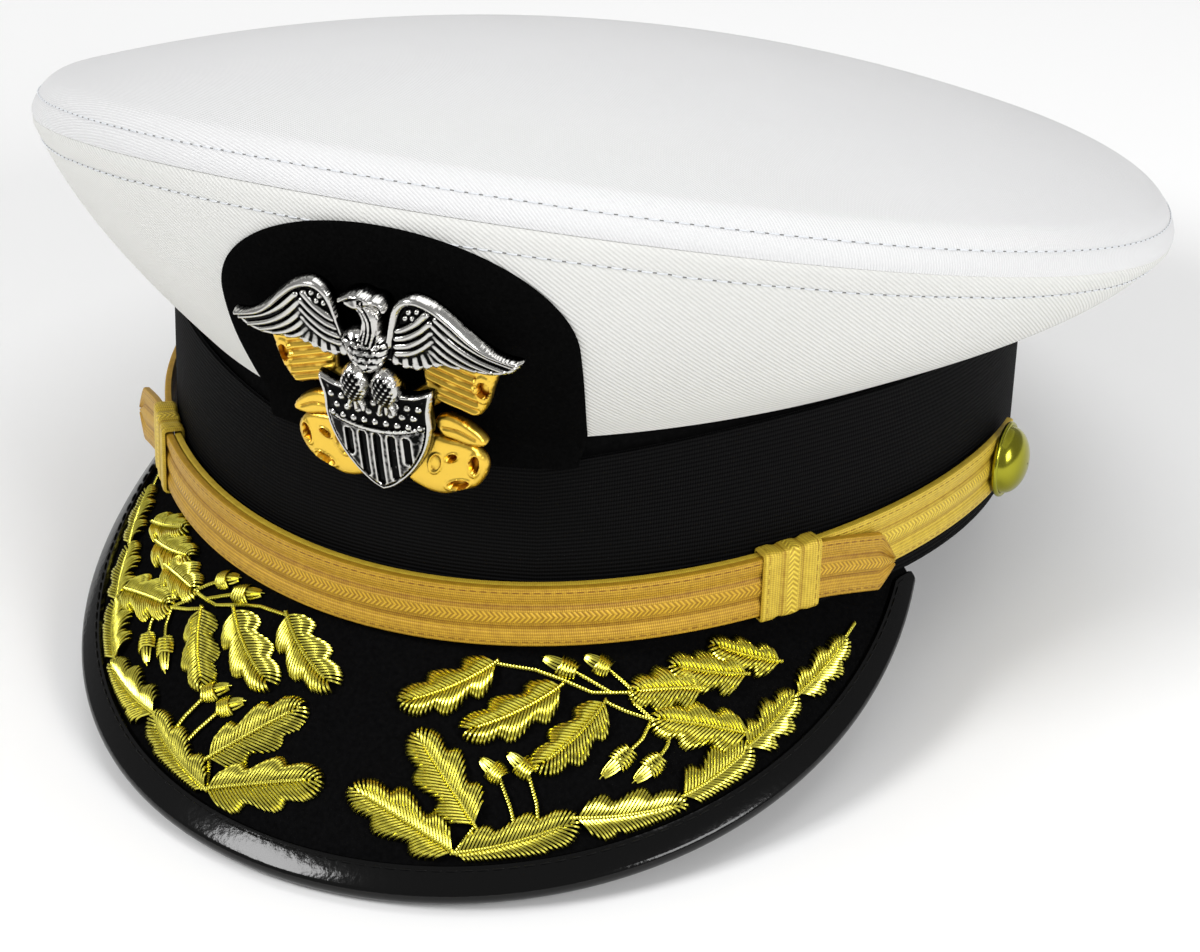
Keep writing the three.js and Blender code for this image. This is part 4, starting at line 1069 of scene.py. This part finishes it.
class Relief:
    """A cast relief on a fine grid: where it is, how high it stands, and the painted shade of its hollows."""

    def __init__(self, x_from, x_to, h_from, h_to, step):
        self.step = step
        self.x, self.h = np.meshgrid(np.arange(x_from, x_to, step), np.arange(h_from, h_to, step), indexing="ij")
        self.depth = np.full(self.x.shape, -9.0)
        self.high = np.zeros(self.x.shape)
        self.shade = np.zeros(self.high.shape)

    def plate(self, outline, high, edge=0.8, crown=0.0, crown_at=4.0):
        """A flat or crowned plate of an outline, with rounded edges; returns the depth inside."""
        depth = depth_inside(self.x, self.h, outline)
        level = high - edge + edge * rounded(depth, edge) + crown * rounded(depth, crown_at)
        self.high = np.where(depth > -self.step, np.maximum(self.high, level), self.high)
        self.depth = np.maximum(self.depth, depth)
        return depth

    def ridge(self, line, half_from, half_to, low, high, power=0.5, own=False, lead=0.0):
        """A rounded ridge along a line, wide at its start and narrow at its end."""
        off, share = nearest(self.x, self.h, line)
        half = half_from + (half_to - half_from) * share
        r = np.clip(off / np.maximum(half, 0.05), 0, 1)
        level = low + (high - low) * (1 - r ** 2) ** power + lead * share
        on = off < half
        self.high = np.where(on, np.maximum(self.high, level), self.high)
        if own:
            self.depth = np.maximum(self.depth, half - off)
        return off, share

    def cut(self, mask, level):
        self.high = np.where(mask, np.minimum(self.high, level), self.high)

    def made(self, name, back, contrast=0.35, reach=9):
        cell_depth = (self.depth[:-1, :-1] + self.depth[1:, :-1] + self.depth[:-1, 1:] + self.depth[1:, 1:]) / 4
        kept = cell_depth > 0
        around = np.zeros(self.x.shape, int)
        for di in (0, 1):
            for dj in (0, 1):
                around[di:di + kept.shape[0], dj:dj + kept.shape[1]] += kept
        used = around > 0
        border = used & (around < 4)
        gx, gh = np.gradient(self.depth, self.step)
        size = np.maximum(gx ** 2 + gh ** 2, 0.25)
        shift = np.clip(np.where(border, self.depth, 0), -0.7 * self.step, 0.7 * self.step)
        x, h = self.x - shift * gx / size, self.h - shift * gh / size
        # Painted shade: hollows below the blurred height are toned darker, and the shade grid darkens chosen parts
        # further.
        tone = (self.high - blur(np.where(used, self.high, self.high.min()), reach)) / contrast + 0.5 - self.shade
        number = np.cumsum(used.ravel()).reshape(used.shape) - 1
        total = used.sum()
        points = np.concatenate([badge_bend(x, h, np.maximum(self.high, back + 0.25))[used],
                                 badge_bend(x, h, np.full_like(x, back))[used]])
        i, j = np.nonzero(kept)
        a, b, c, d = number[i, j], number[i + 1, j], number[i + 1, j + 1], number[i, j + 1]
        faces = np.stack([a, b, c, d], 1)
        walls = []
        padded = np.pad(kept, 1)
        for (di, dj), (p, q) in (((-1, 0), (d, a)), ((1, 0), (b, c)), ((0, -1), (a, b)), ((0, 1), (c, d))):
            edge = ~padded[i + 1 + di, j + 1 + dj]
            walls.append(np.stack([p[edge] + total, q[edge] + total, q[edge], p[edge]], 1))
        faces = np.concatenate([faces, faces[:, ::-1] + total] + walls).tolist()
        obj = add_mesh(name, points, faces, sharp=70)
        layer = obj.data.attributes.new("tone", "FLOAT", "POINT")
        value = np.clip(tone[used], 0, 1)
        layer.data.foreach_set("value", np.concatenate([value, value * 0]).astype(np.float32))
        return obj


def mirrored(points):
    return [(-x, h) for x, h in points]


WING = [
    (2.6, 35.2), (4.6, 39.0), (5.6, 43.0), (6.6, 46.6), (8.4, 48.6), (11.0, 49.2), (14.2, 48.1), (17.4, 45.6),
    (20.4, 42.6), (23.4, 40.0), (26.6, 38.0), (29.6, 37.3), (29.9, 36.6), (28.0, 34.6), (24.6, 33.7), (21.0, 33.8),
    (17.6, 34.3), (14.2, 34.4), (11.6, 33.6), (8.8, 33.0), (6.2, 33.4), (4.0, 34.0),
]
WING_EDGE = [(4.4, 38.2), (5.6, 42.4), (6.9, 46.0), (9.0, 48.0), (11.4, 48.2), (14.4, 46.9), (17.6, 44.2),
             (20.6, 41.2), (24.0, 38.8), (29.2, 37.0)]
PRIMARIES = [
    # long feathers out to the tip, upper ones first
    [(14.6, 44.8), (18.4, 41.2), (23.0, 38.2), (28.6, 36.0)],
    [(13.8, 43.4), (17.4, 39.8), (21.6, 37.0), (26.6, 35.0)],
    [(13.2, 41.8), (16.4, 38.6), (20.0, 36.2), (24.0, 34.6)],
    [(12.8, 40.0), (15.4, 37.4), (18.2, 35.6), (21.0, 34.6)],
    [(12.2, 38.4), (14.2, 36.4), (16.2, 35.2), (18.0, 34.8)],
]
SECONDARIES = [
    # short feathers of the inner wing, pointing down towards the body
    [(12.6, 45.6), (10.6, 43.6), (8.2, 42.0), (6.6, 41.4)],
    [(13.2, 43.8), (11.0, 41.8), (8.4, 40.2), (6.2, 39.6)],
    [(13.4, 42.0), (11.2, 40.0), (8.6, 38.4), (6.0, 37.8)],
    [(13.4, 40.2), (11.4, 38.4), (8.8, 36.8), (6.0, 36.2)],
]
HANGING = [
    [(5.8, 36.2), (5.4, 34.2)], [(7.6, 36.4), (7.4, 33.8)], [(9.4, 36.8), (9.6, 33.8)],
    [(11.0, 37.2), (11.6, 34.4)], [(12.4, 37.4), (13.6, 35.0)],
]


def eagle():
    r = Relief(-31, 31.2, 22.4, 50.4, 0.21)
    low, wing_top = EAGLE_BACK, EAGLE_BACK + 1.5
    for side in (1, -1):
        turned = (lambda pts: pts) if side > 0 else mirrored
        r.plate(curve(turned(WING), True), wing_top, 0.5)
        for k, line in enumerate(HANGING):
            r.ridge(curve(turned(line)), 0.75, 0.8, wing_top, wing_top + 0.45)
        for k, line in enumerate(reversed(PRIMARIES)):
            r.ridge(curve(turned(line)), 0.85, 0.42, wing_top, wing_top + 0.55 + 0.1 * k, lead=-0.1)
        for k, line in enumerate(reversed(SECONDARIES)):
            r.ridge(curve(turned(line)), 0.8, 0.7, wing_top + 0.1, wing_top + 0.8 + 0.1 * k)
        for dx, dh in ((9.2, 45.6), (10.9, 45.9), (9.9, 44.4), (8.4, 44.2)):
            r.ridge(np.array([(side * dx, dh), (side * dx, dh + 0.1)]), 0.6, 0.6, wing_top, wing_top + 0.8)
        r.ridge(curve(turned(WING_EDGE)), 1.15, 0.55, wing_top, wing_top + 1.5, power=0.6)
    body = curve([(-4.7, 38.8), (-4.4, 36.6), (-3.4, 34.0), (-1.8, 32.2), (0, 31.4), (1.8, 32.2), (3.4, 34.0),
                  (4.4, 36.6), (4.7, 38.8), (3.2, 40.6), (0.4, 41.2), (-2.8, 40.4)], True)
    depth = depth_inside(r.x, r.h, body)
    row = np.floor(r.h / 1.55)
    u = (r.x / 1.9 + 0.5 * (row % 2)) % 1 - 0.5
    v = 1 - (r.h / 1.55) % 1
    scale = np.hypot(u * 1.9, v * 1.45)
    scales = np.where(scale < 1.05, 0.5 * (scale / 1.05) ** 1.5, -0.25)
    level = low + 2.0 + 2.4 * rounded(depth, 4.2) + scales
    r.high = np.where(depth > 0, level, r.high)
    r.depth = np.maximum(r.depth, depth)
    neck = curve([(1.2, 39.0), (1.9, 41.4), (2.0, 43.6), (1.3, 45.6), (0.3, 46.8)])
    off, share = r.ridge(neck, 2.2, 1.45, low + 2.4, low + 4.4, own=True)
    hackles = 0.3 * np.cos(off * 2 * np.pi / 0.85) * (off < 2.1 - 0.75 * share)
    r.high = np.where(off < 2.2 - 0.75 * share, r.high + hackles, r.high)
    head = curve([(-2.9, 46.9), (-2.2, 48.0), (-0.7, 48.8), (1.2, 48.7), (2.3, 48.1), (2.3, 47.0), (1.4, 46.2),
                  (-0.4, 45.7), (-2.0, 46.1)], True)
    r.plate(head, low + 4.1, 0.9, 0.5, 1.2)
    r.ridge(curve([(-3.4, 47.4), (-1.6, 48.5), (0.6, 48.9), (2.4, 48.3)]), 0.45, 0.4, low + 3.6, low + 4.9, own=True)
    r.ridge(curve([(1.8, 47.8), (3.6, 48.1), (4.9, 47.7), (5.4, 46.6)]), 0.75, 0.28, low + 3.2, low + 4.8, own=True)
    r.ridge(curve([(1.8, 46.9), (3.2, 46.8), (4.1, 46.5)]), 0.42, 0.25, low + 3.2, low + 4.3, own=True)
    r.cut(np.abs(np.hypot(r.x - 1.0, r.h - 47.6) - 0.5) < 0.17, low + 3.7)
    for side in (1, -1):
        cx = 3.2 * side
        lump = np.hypot((r.x - cx) / 2.9, (r.h - 28.5) / 4.1)
        tufts = 0.22 * np.sin(r.x * 5.2 + r.h * 1.3) * np.sin(r.h * 4.4)
        level = low + 2.0 + 3.0 * np.sqrt(np.clip(1 - lump ** 2, 0, 1)) + tufts
        r.high = np.where(lump < 1, np.maximum(r.high, level), r.high)
        r.depth = np.maximum(r.depth, (1 - lump) * 2.9)
        r.shade = np.where(lump < 1, 0.28, r.shade)
        for toe in (-1, 0, 1):
            claw = curve([(cx + 0.5 * toe, 25.6), (cx + 1.3 * toe, 24.2), (cx + 1.5 * toe, 23.1)])
            r.ridge(claw, 0.62, 0.42, low + 2.2, low + 3.6, own=True)
    return r.made("badge_eagle_relief", low, 0.42, 10)


SHIELD = [(0, 4.0), (2.6, 5.3), (5.6, 8.0), (8.2, 11.4), (10.2, 15.4), (11.2, 19.6), (11.3, 23.6), (11.9, 28.2),
          (8.2, 27.1), (4.0, 27.0), (0, 28.6)]


def shield():
    half = curve(SHIELD, per=4)
    outline = np.concatenate([half, half[1:-1][::-1] * [-1, 1]])
    r = Relief(-12.6, 12.6, 3.4, 29.4, 0.19)
    depth = depth_inside(r.x, r.h, outline)
    dome = SHIELD_TOP - 0.5 + 0.9 * rounded(depth, 8)
    rim = 0.45 * np.exp(-((depth - 0.55) / 0.38) ** 2)
    ridge_at = 18.3 + 0.02 * r.x ** 2
    face = np.full(r.x.shape, -0.25)
    bars = r.h < ridge_at - 0.5
    slot = np.zeros(r.x.shape, bool)
    for cx in (-6.1, -3.05, 0, 3.05, 6.1):
        bottom = 6.3 + 0.155 * cx ** 2
        within = np.hypot(r.x - cx, r.h - np.clip(r.h, bottom, 16.9)) < 0.72
        slot |= within
    face = np.where(bars, 0.15, face)
    face = np.where(slot & bars, -0.5, face)
    face = np.where(np.abs(r.h - ridge_at) < 0.35, 0.3, face)
    for row, h in enumerate((20.1, 22.2, 24.3)):
        for k in range(-4, 5):
            cx = 2.3 * k + 1.15 * (row % 2)
            if abs(cx) < 9.6:
                off = np.hypot(r.x - cx, r.h - h)
                face = np.where(off < 0.72, -0.25 + 0.6 * np.sqrt(np.clip(1 - (off / 0.72) ** 2, 0, 1)), face)
    face = np.where(depth < 1.15, -0.2, face)
    r.depth = depth
    r.high = dome + face + rim - 0.9 * (1 - rounded(depth, 0.7))
    return r.made("badge_shield_relief", SHIELD_BACK, 0.5, 7)


STOCK = [(9.5, 33.6), (13.0, 34.2), (17.5, 34.0), (21.5, 33.6), (23.6, 32.2), (22.6, 28.6), (21.0, 24.2), (18.8, 22.2),
         (15.8, 23.2), (12.2, 24.4), (9.5, 27.0)]
FLUKE = [(10.8, 20.6), (13.2, 21.6), (16.4, 20.4), (19.4, 18.0), (20.3, 15.9), (17.6, 15.4), (14.6, 16.2), (11.6, 17.4)]
ARM = [(8.8, 16.2), (12.6, 16.2), (17.2, 15.4), (19.8, 12.6), (19.9, 9.4), (17.8, 6.0), (14.2, 4.4), (11.0, 3.1),
       (7.2, 3.6), (3.4, 6.0), (5.0, 10.0)]
HOLLOWS = [
    # centre, half length, half width, turn in degrees
    (10.0, 10.6, 1.9, 1.0, 70), (17.8, 11.2, 2.0, 0.9, 80), (14.2, 6.2, 2.1, 1.0, 20), (13.4, 12.4, 1.2, 0.7, 30),
]


def anchors():
    r = Relief(-24.8, 24.8, 2.2, 35.4, 0.23)
    for side in (1, -1):
        turned = (lambda pts: pts) if side > 0 else mirrored
        depth = r.plate(curve(turned(STOCK), True), 1.7, 0.8, 0.6, 3.0)
        folds = 0.28 * np.cos((r.h * 0.94 + side * r.x * 0.34) * 2 * np.pi / 1.75)
        zone = (depth > 0.5) & (side * r.x < 19.8)
        r.high = np.where(zone, r.high + folds, r.high)
        ring = np.hypot((side * r.x - 20.9) / 1.1, (r.h - 28.6) / 1.8)
        r.high = np.where(np.abs(ring - 1.35) < 0.35, r.high + 0.3, r.high)
        r.cut(ring < 1, 0.9)
        r.plate(curve(turned(ARM), True), 1.7, 0.9, 0.6, 3.2)
        r.plate(curve(turned(FLUKE), True), 2.0, 0.7, 0.4, 2.0)
        for cx, ch, length, width, turn in HOLLOWS:
            c, s_ = math.cos(turn * RAD), math.sin(turn * RAD)
            x, h = side * r.x - cx, r.h - ch
            oval = np.hypot((x * c + h * s_) / length, (h * c - x * s_) / width)
            r.high = np.where((oval >= 1) & (oval < 1.5), r.high + 0.28 * np.sin((oval - 1) * 2 * np.pi), r.high)
            r.high = np.where(oval < 1, np.minimum(r.high, 0.7 + 0.8 * oval ** 3), r.high)
        groove = curve(turned([(12.2, 18.9), (15.2, 18.6), (18.4, 17.0)]))
        off, _ = nearest(r.x, r.h, groove)
        r.high = np.where(off < 0.45, r.high - 0.4 * (1 - off / 0.45), r.high)
    shank = [[(-17.0, 31.0), (11.0, 9.0)], [(17.0, 31.0), (-11.0, 9.0)]]
    for line in shank:
        r.ridge(np.array(line), 2.2, 2.4, 0.9, 2.2, own=True)
    return r.made("badge_anchor_relief", 0.0, 0.8, 12)


# Both metals are darkened by painted shade from the reliefs' tone: in hollows, and more on the eagle's legs.
SHADED_SILVER = toned("blackened silver", (0.004, 0.004, 0.004), (0.62, 0.61, 0.585), 0.2, 0.52, 0.7)
SHADED_GOLD = toned("shaded gold", (0.25, 0.09, 0.005), (0.88, 0.58, 0.08), 0.3, 0.1, 0.45)
piece(anchors(), SHADED_GOLD, "gold_metal", "badge_anchors")
piece(shield(), SHADED_SILVER, "silver_metal", "badge_shield")
piece(eagle(), SHADED_SILVER, "silver_metal", "badge_eagle")


# ---- stitches ----
def stitch_row(path, ways, pitch, length, radius, dip, closed):
    """Short threads along a path with a hole between each; returns the threads and short dark tubes of painted shade in
    the holes.
    """
    line = np.concatenate([path, path[:1]]) if closed else path
    way = np.concatenate([ways, ways[:1]]) if closed else ways
    reach = np.concatenate([[0], np.cumsum(np.linalg.norm(np.diff(line, axis=0), axis=1))])
    count = int(reach[-1] / pitch)
    step = reach[-1] / count

    def at(where):
        where = where % reach[-1] if closed else np.clip(where, 0, reach[-1])
        return (np.stack([np.interp(where, reach, line[:, c]) for c in range(3)], -1),
                unit(np.stack([np.interp(where, reach, way[:, c]) for c in range(3)], -1)))

    s = np.array([-0.5, -0.42, -0.2, 0.2, 0.42, 0.5])
    lift = np.array([-dip, 0.1, 0.75, 0.75, 0.1, -dip]) * radius
    centre = (np.arange(count)[:, None] + 0.5) * step + s * length
    places, out = at(centre)
    threads = places + out * lift[None, :, None]
    hole = (np.arange(count)[:, None]) * step + np.array([-0.5, 0, 0.5]) * (step - length) * 1.1
    deep, out_deep = at(hole)
    return (threads, out), (deep + out_deep * radius * 0.1, out_deep)


def seam_stitches():
    threads, holes = Bundle(), Bundle()
    a = np.arange(0, 360, 1.0)
    for surface, shares in ((side_point, np.linspace(1, 0.6, 80)), (top_point, np.linspace(1, 0.9, 160))):
        share_grid = np.broadcast_to(shares, (len(a), len(shares)))
        if surface is top_point:
            share_grid = 1 - ROLL_SHARE * (1 - np.cos(np.linspace(0, np.pi / 2, 160)))
            share_grid = np.broadcast_to(share_grid, (len(a), 160))
        face = surface(a[:, None], share_grid)
        run = np.linalg.norm(np.diff(face, axis=1), axis=2).cumsum(1)
        k = np.clip((run < SEAM_STITCH_OFF).sum(1), 1, face.shape[1] - 2)
        path = face[np.arange(len(a)), k]
        across = face[np.arange(len(a)), k + 1] - face[np.arange(len(a)), k - 1]
        along = np.roll(path, -1, 0) - np.roll(path, 1, 0)
        out = unit(np.cross(along, across))
        out *= np.sign((out * (path - [0, 0, 60])).sum(-1, keepdims=True))
        (paths, ways), (deep, deep_ways) = stitch_row(path - out * 0.1, out, 2.75, 2.1, 0.17, 1.4, True)
        threads.tubes(paths, 0.17, ways)
        holes.tubes(deep, 0.13, deep_ways, sides=4)
    return threads.made("crown_topstitching"), holes.made("crown_stitch_holes")


def binding_stitches():
    bundle = Bundle()
    a = np.linspace(-PEAK_END + 1.5, PEAK_END - 1.5, 300)
    start = np.maximum(peak_depth(a) - BINDING_WIDTH, GAP)
    path = peak_point(a, start + 1.25, GAP + BINDING_WALL)
    (paths, ways), _ = stitch_row(path, peak_normal(a), 3.0, 2.4, 0.19, 1.2, False)
    bundle.tubes(paths, 0.19, ways)
    return bundle.made("binding_stitches")


seam_threads, seam_hole_shade = seam_stitches()
piece(seam_threads, THREAD_WHITE, "white_twill")
piece(seam_hole_shade, new_material("stitch hole shade", (0.18, 0.18, 0.18), 0.9), "white_twill")
piece(binding_stitches(), new_material("black thread", (0.004, 0.004, 0.004), 0.6, specular=0.1), "patent_leather")


# ---- floor, light and camera ----
def floor():
    mesh = bpy.data.meshes.new("floor")
    mesh.from_pydata([(-6, -6, 0), (6, -6, 0), (6, 6, 0), (-6, 6, 0)], [], [(0, 1, 2, 3)])
    obj = bpy.data.objects.new("floor", mesh)
    bpy.context.scene.collection.objects.link(obj)
    mesh.materials.append(new_material("pale floor", (0.94, 0.94, 0.94), 0.95, specular=0.05))


floor()
world = bpy.data.worlds.new("studio")
bpy.context.scene.world = world
world.use_nodes = True
world.node_tree.nodes["Background"].inputs[0].default_value = (1, 1, 1, 1)
world.node_tree.nodes["Background"].inputs[1].default_value = 0.3
bpy.context.scene.view_settings.view_transform = "Standard"


def lamp(name, place, target, size, power):
    data = bpy.data.lights.new(name, "AREA")
    data.shape = "RECTANGLE"
    data.size, data.size_y = size
    data.energy = power
    obj = bpy.data.objects.new(name, data)
    way = Matrix.Translation(place).to_translation() - Matrix.Translation(target).to_translation()
    obj.matrix_world = Matrix.Translation(place) @ way.to_track_quat("Z", "Y").to_matrix().to_4x4()
    bpy.context.scene.collection.objects.link(obj)


lamp("key", (-0.75, -0.8, 1.0), (0, 0, 0.06), (0.5, 0.4), 11)
lamp("fill", (1.05, -0.5, 0.65), (0, 0, 0.05), (0.5, 0.5), 9)
lamp("top", (0.1, 0.3, 1.1), (0, 0, 0.08), (1.0, 0.8), 4.5)

CAMERA_AZIMUTH = 0.3919
CAMERA_ELEVATION = 0.4122
CAMERA_ROLL = 0.036
CAMERA_DISTANCE = 664.0
CAMERA_SIDE = 0.80
CAMERA_RISE = -7.88
CAMERA_LENS = 86.99

back = np.array([
    math.sin(CAMERA_AZIMUTH) * math.cos(CAMERA_ELEVATION),
    -math.cos(CAMERA_AZIMUTH) * math.cos(CAMERA_ELEVATION),
    math.sin(CAMERA_ELEVATION),
])
right = unit(np.cross(-back, [0, 0, 1]))
up = np.cross(right, -back)
eye = back * CAMERA_DISTANCE + right * CAMERA_SIDE + up * CAMERA_RISE
rolled_right = math.cos(CAMERA_ROLL) * right + math.sin(CAMERA_ROLL) * up
rolled_up = -math.sin(CAMERA_ROLL) * right + math.cos(CAMERA_ROLL) * up
axes = [rest_way(v * 1000) for v in (rolled_right, rolled_up, back)]
place = rest(eye)
camera_data = bpy.data.cameras.new("camera")
camera_data.lens = CAMERA_LENS
camera_data.sensor_width = 36
camera_data.clip_start = 0.01
camera = bpy.data.objects.new("camera", camera_data)
camera.matrix_world = Matrix([[*(axes[j][i] for j in range(3)), place[i]] for i in range(3)] + [[0, 0, 0, 1]])
bpy.context.scene.collection.objects.link(camera)
bpy.context.scene.camera = camera
